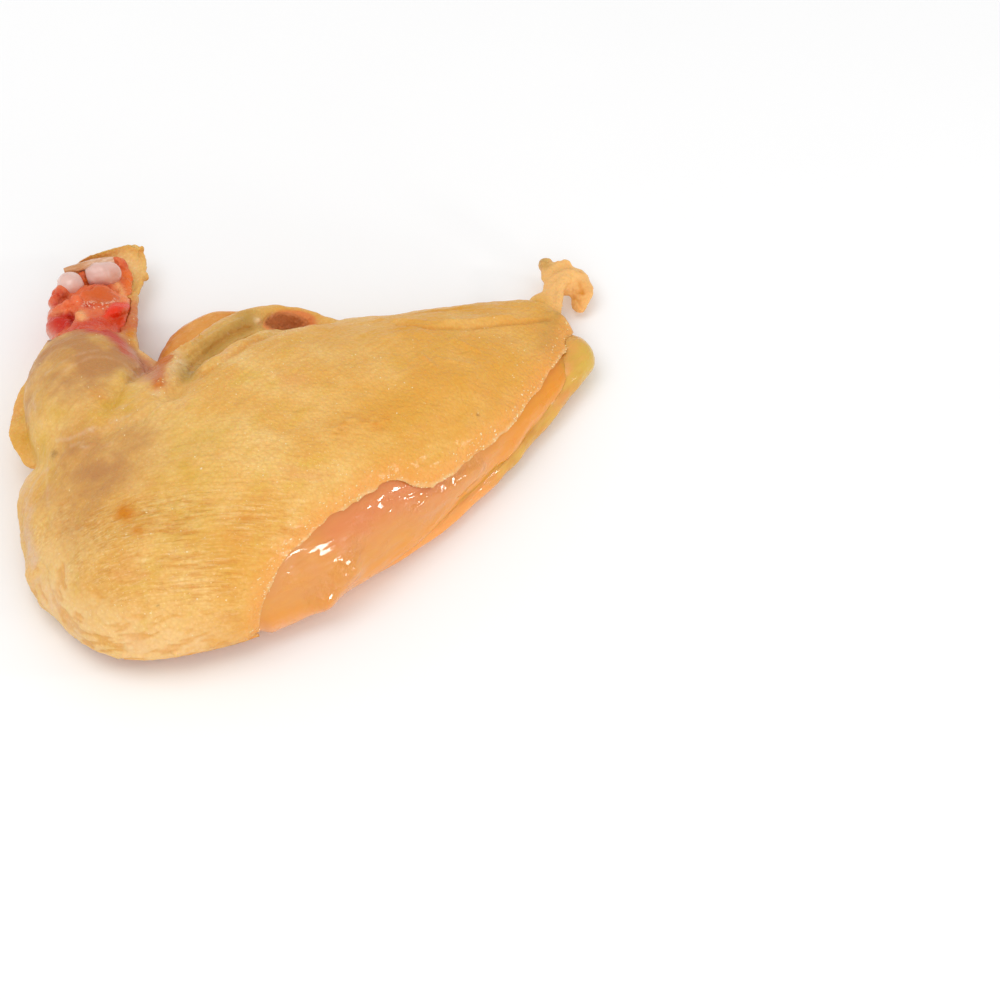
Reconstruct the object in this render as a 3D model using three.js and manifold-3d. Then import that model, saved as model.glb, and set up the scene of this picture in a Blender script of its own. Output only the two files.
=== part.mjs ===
// A raw chicken breast half with its skin and the first wing joint, as a butcher trims it, lying on its
// cut side. The skin covers the top, leaves the keel side of the muscle bare, folds along the rib side
// and ends in a curled tail at the tip. Millimetres, +Z up, +X from the shoulder to the pointed tip.
import * as THREE from 'three';
import Module from 'manifold-3d';

const wasm = await Module();
wasm.setup();

// Where the finished piece's middle lies in the drawing frame that all the places below use.
const MIDDLE = [12.3, 24];
// Parts that touch keep this gap.
const GAP = 0.3;

// The breast muscle seen from above, anticlockwise from the pointed tip, at its widest line.
const OUTLINE = [
  [90, 5], [86, 16], [77, 21.5], [62, 25.5], [46, 30], [34, 36], [27, 43], [18, 48], [5, 49.5], [-12, 45],
  [-30, 39.5], [-50, 35], [-69, 26], [-78.5, 12], [-81, -7], [-81, -24], [-70.5, -38], [-46, -46.5],
  [-16, -47.5], [9, -43.5], [31, -36], [53, -27.5], [73, -16.5], [87, -5],
];
const BREAST_CENTRE = [-6, -2];
const RIM_HEIGHT = 9;
const BASE_SINK = 1.2;
// Height of the top along X: [x, height].
const CREST = [[-84, 31], [-64, 38], [-44, 41], [-22, 40], [2, 36], [26, 31.5], [48, 27], [66, 21.5], [82, 15.5], [94, 11]];
const RIB_SHARPNESS = 2.3;
const KEEL_SHARPNESS = 3.3;
const UNDERSIDE_SHARPNESS = 4;

// Long hollows and ridges of the folded skin on the rib side: where they run, and depth and half-width.
const HOLLOWS = [
  { path: [[-29, 15], [-19, 24]], depth: 3.5, width: 4 },
  { path: [[-11, 31], [1, 34.5], [11, 37], [20, 38.5], [26, 37]], depth: 9.5, width: 6.5 },
];
const RIDGES = [
  { path: [[-22, 40], [-10, 45], [4, 49], [15, 48], [24, 44.5], [30, 38]], depth: 3.5, width: 3 },
];

// Skin thickness on the breast and on the wing joint.
const SKIN = 1.7;
const WING_SKIN = 1.4;
// How far round the side the breast skin reaches: 1 is the widest line.
const SKIN_REACH = 1.27;
// The skin's edge over the bare keel side, looked at square on: [X, height up the slanted view].
const BARE_SLANT = 53;
const BARE_EDGE = [
  [-37.6, -26], [-36.8, -17], [-33, -10], [-26, -4], [-14, 0], [3, 2.1], [13, 1.3], [18, -2.9],
  [24, -5.2], [38, -4.1], [54, -1.8], [68, 2.9], [80, 7.6], [92, 14],
];

// The wing joint from the shoulder to the cut end: x, y, z, half-width, half-height, roll.
const WING = [
  [-52, 16, 19, 14, 14, 0], [-48, 31, 18.5, 16.2, 14.6, 0], [-42.6, 45, 17.4, 16, 13.8, 0], [-36.6, 57, 15, 12.7, 11.6, 0],
  [-31.6, 65.5, 13.2, 11.2, 9.8, 0], [-28, 71.5, 12.6, 10.2, 8.8, 0], [-26.2, 75, 12.4, 9.2, 8.2, 0],
];
// How far the sleeve of skin reaches along the wing joint, by the angle round it: [degrees, share].
const SLEEVE_REACH = [
  [0, 0.92], [30, 0.64], [60, 0.52], [90, 0.5], [135, 0.52], [180, 0.66], [225, 0.82], [270, 0.94], [315, 1], [360, 0.92],
];

// Thin loose skin beside the wing joint: the web on the outer side and the collar round the cut end.
const WEB = [
  [-44, 66, 13, 2, 1.3, 0], [-51, 59, 14, 4, 1.4, 0], [-58, 50, 14, 5.5, 1.5, 0], [-62, 41, 14, 7, 1.6, 0],
  [-64.5, 34, 14, 4.6, 1.6, 0],
];
const COLLAR = [
  [-24, 57, 13, 2.5, 1.2, 20], [-20.3, 66, 11, 2.8, 1.2, 25], [-15.6, 75.8, 9.8, 3.1, 1.2, 25], [-10.6, 83, 9.2, 3.5, 1.2, 22],
  [-6, 89.8, 9.2, 4, 1.2, 18], [-3, 95.2, 9.6, 2.4, 1.1, 10],
];
const COLLAR_BACK = [
  [-6.4, 92.6, 9.8, 3.4, 1.2, 0], [-12, 93, 11.2, 2.6, 1.2, 0], [-19, 92.4, 12.4, 2.4, 1.2, 0], [-28.5, 91, 12.6, 2, 1.1, 0],
];

// Lumps of red flesh at the cut end of the wing joint: centre, half-sizes, turn about Z in degrees.
const FLESH_LUMPS = [
  { at: [-34.6, 74.5, 14.5], half: [4.2, 7, 5], turn: 25 },
  { at: [-31.8, 82.6, 14.2], half: [4.2, 4.6, 4.2], turn: 10 },
  { at: [-24.2, 73.4, 15.5], half: [5.5, 6, 4.8], turn: -20 },
  { at: [-18.6, 70, 12.5], half: [3.8, 6, 4.2], turn: -30 },
  { at: [-18.5, 85.2, 10.8], half: [9.5, 5.6, 3.2], turn: 5 },
];
const KNUCKLES = [
  { name: 'knuckle_outer', at: [-28.1, 86.2, 15], half: [3.6, 3.8, 4.2], turn: 10 },
  { name: 'knuckle_inner', at: [-18.8, 85.8, 15], half: [5.2, 3.4, 3.8], turn: -18 },
];
const TENDON = [
  [-27.9, 90.7, 17, 1, 1, 0], [-24.5, 89.8, 17.6, 1.2, 1, 0], [-19, 89.6, 17.4, 1.2, 1, 0], [-13.3, 89.4, 16, 1.2, 1, 0],
];

// The small inner fillet under the keel edge, and the flap of fatty skin behind the fold.
const FILLET = [
  [-28, -38, 4.5, 3, 3, 0], [-4, -38, 5, 6, 4, 0], [22, -32, 5, 7.5, 4.5, 0], [46, -23, 5, 8, 4.6, 0],
  [68, -12, 5.4, 8, 4.8, 0], [86, -3.5, 6.2, 7, 5.4, 0],
];
const BACK_FLAP = [
  [-18, 46, 6, 4.5, 5, 0], [-9, 52, 6.5, 7, 6, 0], [2, 55, 6.5, 7.5, 6, 0], [12, 52, 6, 6, 5, 0], [20, 46, 5, 4, 4, 0],
];
// The free end of the skin, torn and curled round at the tip.
const TAIL = [
  [87, 12.5, 8, 4.6, 1.8, 0], [92, 17.5, 8.5, 3.6, 1.7, 0], [96.2, 22, 8.5, 3.3, 1.7, 0], [100.8, 24.6, 7.5, 3.8, 1.9, 0],
  [104.4, 22.6, 6, 3.9, 2, 0], [103.8, 18.2, 5, 3.4, 1.9, 0], [100.6, 15.6, 3.8, 2.3, 1.7, 0],
];
const TAIL_LOBE = [
  [97, 24, 8, 3.2, 1.6, 0], [98.2, 28, 8.2, 2.6, 1.6, 0], [99, 31, 8, 2, 1.4, 0],
];
// The open pocket in the fold, where the muscle shows.
const POCKET = { at: [19.5, 41, 16], half: [8.5, 5, 6], turn: -20 };

const ROUND = 64;
const SLICES_OVER = 13;
const SLICES_UNDER = 5;
const WING_SIDES = 20;
// How deep the skin's edge turns in, to be cut away by the flesh.
const TURN_IN = 2;

const up = new THREE.Vector3(0, 0, 1);

// A smooth value from [place, value] stations in order of place.
function stationValue(stations, place) {
  const last = stations.length - 1;
  let i = 0;
  while (i < last - 1 && place > stations[i + 1][0]) i += 1;
  const share = THREE.MathUtils.clamp((place - stations[i][0]) / (stations[i + 1][0] - stations[i][0]), 0, 1);
  const slope = (a, b) => (stations[b][1] - stations[a][1]) / (stations[b][0] - stations[a][0]);
  const length = stations[i + 1][0] - stations[i][0];
  const before = i > 0 ? slope(i - 1, i + 1) : slope(0, 1);
  const after = i < last - 1 ? slope(i, i + 2) : slope(last - 1, last);
  const s2 = share * share;
  const s3 = s2 * share;
  return (2 * s3 - 3 * s2 + 1) * stations[i][1] + (s3 - 2 * s2 + share) * length * before
    + (3 * s2 - 2 * s3) * stations[i + 1][1] + (s3 - s2) * length * after;
}

// Distance in plan from a point to a path of straight pieces.
function distanceToPath(x, y, path) {
  let least = Infinity;
  for (let i = 0; i + 1 < path.length; i += 1) {
    const [ax, ay] = path[i];
    const dx = path[i + 1][0] - ax;
    const dy = path[i + 1][1] - ay;
    const share = THREE.MathUtils.clamp(((x - ax) * dx + (y - ay) * dy) / (dx * dx + dy * dy), 0, 1);
    least = Math.min(least, Math.hypot(x - ax - share * dx, y - ay - share * dy));
  }
  return least;
}

// The folds' height above the plain dome at a place.
function relief(x, y) {
  const swell = (fold) => fold.depth * Math.exp(-((distanceToPath(x, y, fold.path) / fold.width) ** 2));
  return RIDGES.reduce((sum, fold) => sum + swell(fold), 0) - HOLLOWS.reduce((sum, fold) => sum + swell(fold), 0);
}

// Joins rings of equally many points into one closed solid, its two ends closed by fans.
function solidFromRings(rings) {
  const n = rings[0].length;
  const corners = rings.flat().map((p) => [p.x, p.y, p.z]);
  const faces = [];
  const count = rings.length;
  for (let r = 0; r < count - 1; r += 1) {
    const here = r * n;
    const next = here + n;
    for (let k = 0; k < n; k += 1) {
      const k1 = (k + 1) % n;
      faces.push(here + k, next + k, next + k1, here + k, next + k1, here + k1);
    }
  }
  [[0, 1], [count - 1, -1]].forEach(([r, turn]) => {
    const middle = rings[r].reduce((sum, p) => sum.add(p), new THREE.Vector3()).divideScalar(n);
    const tip = corners.push([middle.x, middle.y, middle.z]) - 1;
    for (let k = 0; k < n; k += 1) {
      const a = r * n + k;
      const b = r * n + ((k + 1) % n);
      if (turn > 0) faces.push(tip, a, b);
      else faces.push(tip, b, a);
    }
  });
  return new wasm.Manifold(new wasm.Mesh({
    numProp: 3,
    vertProperties: new Float32Array(corners.flat()),
    triVerts: new Uint32Array(faces),
  }));
}

// The outline at even steps, anticlockwise.
const outlineCurve = new THREE.CatmullRomCurve3(
  OUTLINE.map(([x, y]) => new THREE.Vector3(x, y, 0)), true, 'catmullrom', 0.5);
outlineCurve.arcLengthDivisions = 2000;

// A point of the bare dome. Round goes once round the outline; reach is 0 at the top, 1 at the widest
// line and 2 at the middle of the underside.
function domePoint(round, reach) {
  const edge = outlineCurve.getPointAt(((round % 1) + 1) % 1);
  const over = reach <= 1;
  const angle = (over ? reach : 2 - reach) * Math.PI / 2;
  const keel = THREE.MathUtils.smoothstep(-edge.y, -20, 40);
  const sharpness = over ? THREE.MathUtils.lerp(RIB_SHARPNESS, KEEL_SHARPNESS, keel) : UNDERSIDE_SHARPNESS;
  const out = Math.sin(angle) ** (2 / sharpness);
  const rise = Math.max(0, Math.cos(angle));
  const x = BREAST_CENTRE[0] + (edge.x - BREAST_CENTRE[0]) * out;
  const y = BREAST_CENTRE[1] + (edge.y - BREAST_CENTRE[1]) * out;
  const z = over
    ? RIM_HEIGHT + rise * (stationValue(CREST, x) - RIM_HEIGHT) + relief(x, y) * Math.min(1, 2 * rise)
    : Math.max(0, RIM_HEIGHT - rise * (RIM_HEIGHT + BASE_SINK));
  return new THREE.Vector3(x, y, z);
}

// The same point moved out from the surface by an offset.
function breastPoint(round, reach, offset) {
  const at = THREE.MathUtils.clamp(reach, 0.02, 1.98);
  const step = 0.01;
  const along = domePoint(round + step / 2, at).sub(domePoint(round - step / 2, at));
  const outward = domePoint(round, at + step).sub(domePoint(round, at - step));
  const normal = outward.cross(along).normalize();
  return domePoint(round, reach).addScaledVector(normal, offset);
}

const steps = (n, first, last) => Array.from({ length: n + 1 }, (_, i) => first + (last - first) * i / n);
const turns = Array.from({ length: ROUND }, (_, k) => k / ROUND);

// The whole breast grown by an offset.
function breastBody(offset) {
  const reaches = [...steps(SLICES_OVER, 0.08, 1), ...steps(SLICES_UNDER, 1.12, 1.9)];
  return solidFromRings(reaches.map((reach) => turns.map((round) => breastPoint(round, reach, offset))));
}

// A cap over the breast at an offset, out to the skin's edge, where it turns in under the surface.
function breastCap(offset) {
  const ring = (reach, rise) => turns.map((round) => breastPoint(round, reach, rise));
  return solidFromRings([
    ...steps(SLICES_OVER, 0.08, 1).map((reach) => ring(reach, offset)),
    ...[1.14, SKIN_REACH].map((reach) => ring(reach, offset)),
    ring(SKIN_REACH, -TURN_IN),
  ]);
}

// What cuts the skin away from the keel side: everything below the bare edge, along the slanted view.
function bareCutter() {
  const far = 200;
  const edge = new THREE.Shape(BARE_EDGE.map(([x, height]) => new THREE.Vector2(x, height)));
  edge.lineTo(BARE_EDGE.at(-1)[0] + 30, BARE_EDGE.at(-1)[1]);
  edge.lineTo(BARE_EDGE.at(-1)[0] + 30, -far);
  edge.lineTo(BARE_EDGE[0][0], -far);
  const wedge = new THREE.ExtrudeGeometry(edge, { depth: 2 * far, bevelEnabled: false, steps: 1 });
  wedge.translate(0, 0, -far).rotateX(THREE.MathUtils.degToRad(BARE_SLANT));
  return solidFromGeometry(wedge);
}

// Points round one cross-section of a swept form: stations give x, y, z, half-width, half-height, roll.
function sweepRing(stations, share, sides, offset, shrink = 1, shift = 0) {
  const place = new THREE.CatmullRomCurve3(stations.map((s) => new THREE.Vector3(s[0], s[1], s[2])), false, 'catmullrom', 0.5);
  const size = new THREE.CatmullRomCurve3(stations.map((s) => new THREE.Vector3(s[3], s[4], s[5])), false, 'catmullrom', 0.5);
  const tangent = place.getTangent(share);
  const sizes = size.getPoint(share);
  const side = tangent.clone().cross(up).normalize().applyAxisAngle(tangent, THREE.MathUtils.degToRad(sizes.z));
  const top = side.clone().cross(tangent);
  const centre = place.getPoint(share).addScaledVector(tangent, shift * (sizes.x + offset));
  return Array.from({ length: sides }, (_, k) => {
    const angle = 2 * Math.PI * k / sides;
    return centre.clone()
      .addScaledVector(side, Math.cos(angle) * (sizes.x + offset) * shrink)
      .addScaledVector(top, Math.sin(angle) * (sizes.y + offset) * shrink);
  });
}

// A swept form with rounded ends, grown by an offset.
function sweep(stations, { slices = 12, sides = 12, offset = 0, cap = 3 } = {}) {
  const ends = steps(cap, 0, 1).slice(1, -1).concat(0.97);
  const first = ends.map((e) => sweepRing(stations, 0, sides, offset, Math.sqrt(1 - e * e), -e)).reverse();
  const last = ends.map((e) => sweepRing(stations, 1, sides, offset, Math.sqrt(1 - e * e), e));
  const middle = steps(slices, 0, 1).map((share) => sweepRing(stations, share, sides, offset));
  return solidFromRings([...first, ...middle, ...last]);
}

// The sleeve of skin round the wing joint at an offset, out to its edge, where it turns in.
function wingSleeve(offset) {
  const reached = (share, rise) => Array.from({ length: WING_SIDES }, (_, k) => {
    const reach = stationValue(SLEEVE_REACH, 360 * k / WING_SIDES);
    return sweepRing(WING, share * reach, WING_SIDES, rise)[k];
  });
  const shoulder = [0.97, 0.67, 0.33].map((e) => sweepRing(WING, 0, WING_SIDES, offset, Math.sqrt(1 - e * e), -e));
  return solidFromRings([...shoulder, ...steps(11, 0, 1).map((share) => reached(share, offset)), reached(1, -TURN_IN)]);
}

// An egg-shaped solid grown by an offset.
function egg({ at, half, turn }, offset = 0, detail = 14) {
  const sphere = new THREE.SphereGeometry(1, detail, Math.round(detail * 0.6));
  sphere.scale(half[0] + offset, half[1] + offset, half[2] + offset);
  sphere.rotateZ(THREE.MathUtils.degToRad(turn));
  sphere.translate(...at);
  return solidFromGeometry(sphere);
}

// A closed three.js shape as a solid, its doubled corners merged.
function solidFromGeometry(geometry) {
  const place = geometry.getAttribute('position');
  const known = new Map();
  const corners = [];
  const merged = Array.from({ length: place.count }, (_, i) => {
    const p = [place.getX(i), place.getY(i), place.getZ(i)];
    const key = p.map((c) => Math.round(c * 1e4)).join();
    if (!known.has(key)) known.set(key, corners.push(p) - 1);
    return known.get(key);
  });
  const faces = [];
  const used = geometry.index ? Array.from(geometry.index.array) : merged.map((_, i) => i);
  for (let i = 0; i < used.length; i += 3) {
    const [a, b, c] = [0, 1, 2].map((j) => merged[used[i + j]]);
    if (a !== b && b !== c && c !== a) faces.push(a, b, c);
  }
  return new wasm.Manifold(new wasm.Mesh({
    numProp: 3,
    vertProperties: new Float32Array(corners.flat()),
    triVerts: new Uint32Array(faces),
  }));
}

// The largest piece of a solid: scraps that a cut leaves loose are dropped.
const largest = (solid) => solid.decompose().sort((a, b) => b.volume() - a.volume())[0];

const colours = {
  breast_meat: 0xe8a06a,
  wing_meat: 0xc8402c,
  inner_fillet: 0xd9a64e,
  skin: 0xe0b45c,
  back_flap: 0xdc9a48,
  knuckle_outer: 0xe6c6bd,
  knuckle_inner: 0xe6c6bd,
  tendon: 0xe8cfae,
};

// A named mesh from a solid, in the finished piece's own frame.
function part(name, solid, roughness = 0.35) {
  const mesh = largest(solid).getMesh();
  const geometry = new THREE.BufferGeometry();
  geometry.setAttribute('position', new THREE.BufferAttribute(new Float32Array(mesh.vertProperties), 3));
  geometry.setIndex(new THREE.BufferAttribute(new Uint32Array(mesh.triVerts), 1));
  geometry.translate(-MIDDLE[0], -MIDDLE[1], 0);
  geometry.computeVertexNormals();
  const made = new THREE.Mesh(geometry, new THREE.MeshStandardMaterial({ color: colours[name], roughness }));
  made.name = name;
  return made;
}

const unite = (solids) => solids.reduce((sum, s) => sum.add(s));
const cut = (solid, tools) => tools.reduce((rest, tool) => rest.subtract(tool), solid);

const wingSolid = (offset) => sweep(WING, { slices: 11, sides: WING_SIDES, offset, cap: 3 });
const fillet = (offset) => sweep(FILLET, { slices: 14, sides: 14, offset });
const flap = (offset) => sweep(BACK_FLAP, { slices: 12, sides: 14, offset });
const floor = solidFromGeometry(new THREE.BoxGeometry(400, 400, 60).translate(0, 0, -30));

const knuckles = KNUCKLES.map((k) => ({ name: k.name, solid: egg(k), grown: egg(k, GAP) }));
const tendon = (offset) => sweep(TENDON, { slices: 6, sides: 8, offset, cap: 2 });
const fleshLumps = (offset) => FLESH_LUMPS.map((lump) => egg(lump, offset, 10));

const breastMeat = cut(breastBody(0), [fillet(GAP)]);
const flesh = unite([wingSolid(0), ...fleshLumps(0)]);
const fleshGrown = unite([wingSolid(GAP), ...fleshLumps(GAP)]);
const wingMeat = cut(flesh, [breastBody(GAP), ...knuckles.map((k) => k.grown), tendon(GAP)]);

const looseSkin = [
  sweep(WEB, { slices: 8, sides: 8 }), sweep(COLLAR, { slices: 9, sides: 8 }), sweep(COLLAR_BACK, { slices: 5, sides: 8 }),
  sweep(TAIL, { slices: 16, sides: 10 }), sweep(TAIL_LOBE, { slices: 4, sides: 8 }),
];
const breastSkin = cut(breastCap(GAP + SKIN), [bareCutter(), egg(POCKET)]);
const skin = cut(
  unite([breastSkin, wingSleeve(GAP + WING_SKIN), ...looseSkin]),
  [breastBody(GAP), fleshGrown, fillet(GAP), ...knuckles.map((k) => k.grown), tendon(GAP), floor],
);
const skinReach = GAP + SKIN + GAP;
const backFlap = cut(flap(0), [breastBody(skinReach), wingSolid(skinReach), floor]);

const chicken = new THREE.Group();
chicken.add(
  part('breast_meat', breastMeat),
  part('wing_meat', wingMeat),
  part('inner_fillet', cut(fillet(0), [floor])),
  part('skin', skin, 0.45),
  part('back_flap', backFlap),
  ...knuckles.map((k) => part(k.name, k.solid, 0.3)),
  part('tendon', cut(tendon(0), knuckles.map((k) => k.grown)), 0.3),
);

export default chicken;
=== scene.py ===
"""The looks of a raw chicken breast lying skin side up: moist yellow skin with its folds and wrinkles, the
wet bare muscle and inner fillet along the keel side, the red cut end of the wing joint with its knuckles,
and the curled end of loose skin at the tip. Places are in millimetres, in the drawing frame of the part's
source, until place_piece."""
import itertools
import math

import bmesh
import bpy
import numpy as np
from mathutils import Matrix, Vector


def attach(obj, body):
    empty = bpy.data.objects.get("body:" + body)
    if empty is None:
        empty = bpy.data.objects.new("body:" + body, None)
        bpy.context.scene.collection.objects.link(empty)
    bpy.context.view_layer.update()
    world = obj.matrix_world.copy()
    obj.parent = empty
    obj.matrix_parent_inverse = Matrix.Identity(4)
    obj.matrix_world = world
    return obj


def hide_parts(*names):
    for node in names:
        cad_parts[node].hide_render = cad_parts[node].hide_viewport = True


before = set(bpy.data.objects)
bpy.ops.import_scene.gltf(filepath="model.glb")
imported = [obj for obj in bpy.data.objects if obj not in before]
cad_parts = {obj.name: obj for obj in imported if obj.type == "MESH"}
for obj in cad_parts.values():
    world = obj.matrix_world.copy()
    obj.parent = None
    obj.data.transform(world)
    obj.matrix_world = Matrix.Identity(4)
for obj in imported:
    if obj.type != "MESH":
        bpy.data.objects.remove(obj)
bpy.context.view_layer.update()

# The piece's middle in the drawing frame, a millimetre in metres, and the gap between pieces that touch.
MIDDLE = np.array([12.3, 24.0, 0.0])
MM = 0.001
GAP = 0.3
# The most triangles that the skin keeps.
MOST_TRIANGLES = 194000

# The camera: its place in metres, where it looks, its right-hand side, and its lens in widths of its film.
CAMERA_PLACE = (-0.3208, -0.67082, 0.84265)
CAMERA_VIEW = (0.32139, 0.55667, -0.76604)
CAMERA_RIGHT = (0.8660254, -0.5, 0)
FILM_WIDTH = 36
LENS_TO_FILM = 3.928571
# The light: how bright the white room is, and each lamp's name, direction, distance, width, height, power.
ROOM_BRIGHTNESS = 0.72
LAMPS = [
    ("overhead", (-0.35, 0.1, 1.0), 1.1, 0.8, 0.8, 3.3),
    ("front", (-0.35, -0.85, 0.55), 1.1, 0.9, 0.9, 2.1),
    ("sparkle_in_front", (0.36, -0.92, 0.17), 0.9, 0.15, 0.1, 1.1),
    ("sparkle_right", (0.72, -0.57, 0.38), 0.9, 0.08, 0.08, 0.6)]

# The breast muscle: outline and height of its widest line, crest height along X, how square its sides are.
OUTLINE = np.array([
    [90, 5], [86, 16], [77, 21.5], [62, 25.5], [46, 30], [34, 36], [27, 43], [18, 48], [5, 49.5], [-12, 45],
    [-30, 39.5], [-50, 35], [-69, 26], [-78.5, 12], [-81, -7], [-81, -24], [-70.5, -38], [-46, -46.5],
    [-16, -47.5], [9, -43.5], [31, -36], [53, -27.5], [73, -16.5], [87, -5]], float)
BREAST_CENTRE = np.array([-6.0, -2.0])
RIM_HEIGHT = 9.0
# How far its underside would sag below the floor that it is pressed flat on.
BASE_SINK = 1.2
CREST = [
    [-84, 31], [-64, 38], [-44, 41], [-22, 40], [2, 36], [26, 31.5], [48, 27], [66, 21.5], [82, 15.5],
    [94, 11]]
RIB_SHARPNESS, KEEL_SHARPNESS, UNDERSIDE_SHARPNESS = 2.3, 3.3, 4.0

# Folds of the rib side that muscle and skin share: path in plan, height (negative for a hollow), half-width.
FOLDS = [
    ([[-29, 15], [-19, 24]], -3.5, 4.0),
    ([[-11, 31], [1, 34.5], [11, 37], [20, 38.5], [26, 37]], -9.5, 6.5),
    ([[-22, 40], [-10, 45], [4, 49], [15, 48], [24, 44.5], [30, 38]], 3.5, 3.0),
    ([[-17, 20.5], [-8, 24], [1, 27.8], [7, 30.5], [11, 35], [13, 40]], 2.3, 1.8),
    ([[-20, 17], [-9, 21.2], [1, 25.2], [9, 27.6], [18, 29], [27, 31]], -1.7, 1.3),
]

# The skin: how thick it is on breast and wing, how far down it reaches, and how deep its edges turn in.
SKIN = 1.7
WING_SKIN = 1.4
SKIN_REACH = 1.27
TURN_IN = 2.0
# The skin's edge over the bare keel side, looked at square on: X, and height up the slanted view.
BARE_SLANT = math.radians(53)
BARE_EDGE = [
    [-37.6, -26], [-36.8, -17], [-33, -10], [-26, -4], [-14, 0], [3, 2.1], [13, 1.3], [18, -2.9],
    [24, -5.2], [38, -4.1], [54, -1.8], [68, 2.2], [79, 5.6], [85, 7], [89.5, 8.5], [93.5, 9.5]]
BARE_UP = np.array([math.cos(BARE_SLANT), math.sin(BARE_SLANT)])

# How long the wing joint is, and how far along it the skin reaches: degrees round it, share of its run.
WING_LENGTH = 64
SLEEVE_REACH = [
    [0, 0.92], [30, 0.64], [60, 0.52], [90, 0.5], [135, 0.52], [180, 0.66], [225, 0.82], [270, 0.94],
    [315, 1], [360, 0.92]]

# Swept forms: x, y, z, half-width, half-height, roll in degrees.
WING = [
    [-52, 16, 19, 14, 14, 0], [-48, 31, 18.5, 16.2, 14.6, 0], [-42.6, 45, 17.4, 16, 13.8, 0],
    [-36.6, 57, 15, 12.7, 11.6, 0], [-31.6, 65.5, 13.2, 11.2, 9.8, 0], [-28, 71.5, 12.6, 10.2, 8.8, 0],
    [-26.2, 75, 12.4, 9.2, 8.2, 0]]
WEB = [
    [-44, 66, 13, 2, 1.3, 0], [-51, 59, 14, 4, 1.4, 0], [-58, 50, 14, 5.5, 1.5, 0], [-62, 41, 14, 7, 1.6, 0],
    [-64.5, 34, 14, 4.6, 1.6, 0]]
COLLAR = [
    [-25.2, 57.2, 13, 2.3, 1.2, 20], [-21.9, 66.2, 11, 2.6, 1.2, 25], [-17, 76, 9.8, 3.0, 1.2, 25],
    [-11, 83, 9.2, 3.4, 1.2, 22], [-6.5, 89.8, 9.2, 3.7, 1.2, 18], [-3.3, 95.2, 9.6, 2.3, 1.1, 10]]
COLLAR_BACK = [
    [-6.4, 92.6, 9.8, 3.4, 1.2, 0], [-12, 93, 11.2, 2.6, 1.2, 0], [-19, 92.4, 12.4, 2.4, 1.2, 0],
    [-28.5, 91, 12.6, 2, 1.1, 0]]
TAIL = [
    [87, 12.5, 8, 4.6, 1.8, 0], [92, 17.5, 8.5, 3.6, 1.7, 0], [96.2, 22, 8.5, 3.3, 1.7, 0],
    [100.4, 24.6, 7.5, 3.8, 1.9, 0], [103.6, 22.6, 6, 3.8, 2, 0], [103.0, 18.4, 5, 3.6, 1.9, 0],
    [100.6, 15.6, 3.8, 3.0, 1.7, 0]]
TAIL_LOBE = [[96.4, 24, 8, 3.3, 1.6, 0], [97.4, 28, 8.2, 2.8, 1.6, 0], [98.2, 31, 8, 2.2, 1.4, 0]]
FILLET = [
    [-28, -38, 4.5, 3, 3, 0], [-4, -38, 5, 6, 4, 0], [22, -32, 5, 7.5, 4.5, 0], [46, -23, 5, 8, 4.6, 0],
    [68, -12, 5.4, 8, 4.8, 0], [86, -3.5, 6.2, 7, 5.4, 0]]
BACK_FLAP = [
    [-18, 46, 6, 4.5, 5, 0], [-9, 52, 6.5, 7, 6, 0], [2, 55, 6.5, 7.5, 6, 0], [12, 52, 6, 6, 5, 0],
    [20, 46, 5, 4, 4, 0]]
TENDON = [
    [-27.9, 90.5, 17, 1, 1, 0], [-24.5, 89.6, 17.4, 1.3, 1, 0], [-19, 89, 17, 1.5, 1.1, 0],
    [-13.6, 88.2, 15.7, 1.7, 1.2, 0]]
# Folds of the collar above the flesh and behind the tendon, and how far they sink into the flesh.
FOLD_SUNK = 0.3
COLLAR_FOLD = [
    [-13.8, 76.2, 12, 2.0, 1.3, 0], [-16.5, 71.2, 14.6, 2.5, 1.5, 0], [-19.7, 65.2, 16.8, 2.8, 1.6, 0],
    [-23.1, 59.4, 19.1, 2.7, 1.5, 0], [-25.3, 54.2, 20.8, 2.4, 1.5, 0], [-26, 51, 21.4, 2.0, 1.4, 0]]
COLLAR_RISE = [
    [-3.8, 95.4, 10.4, 1.2, 1.8, 0], [-6.4, 94.6, 11.2, 1.3, 2.7, 0], [-10.8, 94, 12.2, 1.3, 3.1, 0],
    [-15, 93.4, 13.3, 1.3, 3.2, 0], [-20, 92.8, 14.4, 1.3, 3, 0], [-25.4, 91.9, 14.2, 1.2, 2.4, 0]]
# The fold that fills the notch between wing and breast.
WING_FOLD = [
    [-25.8, 49.6, 20, 1.5, 1.4, 0], [-25.2, 46.4, 21, 1.6, 1.5, 0], [-24.4, 43.4, 21.4, 1.7, 1.5, 0],
    [-24.2, 40, 22, 1.8, 1.5, 0], [-25.4, 36.4, 24, 1.8, 1.4, 0]]

# Egg-shaped forms of the curled end, the pocket and the cut end: centre, half-sizes, turn about Z in degrees.
TAIL_FOLDS = [
    ([100.2, 21.3, 5.2], [3.3, 2.5, 1.6], 0), ([101.4, 16.6, 3.8], [3.2, 2.6, 1.6], -30),
    ([103.4, 28.2, 8.2], [1.5, 1.9, 1.3], 10), ([100.8, 28.8, 8.4], [2.2, 1.2, 1.1], 0),
    ([89, 18.6, 8.6], [4.2, 3, 1.5], 20)]
POCKET = ([18.6, 39.6, 16.8], [7.6, 4.5, 5.8], -20)
FLESH_LUMPS = [
    ([-34.6, 74.5, 14.5], [4.2, 7, 5], 25), ([-31.8, 82.6, 14.2], [4.2, 4.6, 4.2], 10),
    ([-24.2, 73.4, 15.5], [5.5, 6, 4.8], -20), ([-19.5, 70, 12.5], [3.6, 5.8, 4.2], -30),
    ([-18.5, 85.2, 10.8], [9.5, 5.6, 3.2], 5)]
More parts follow.
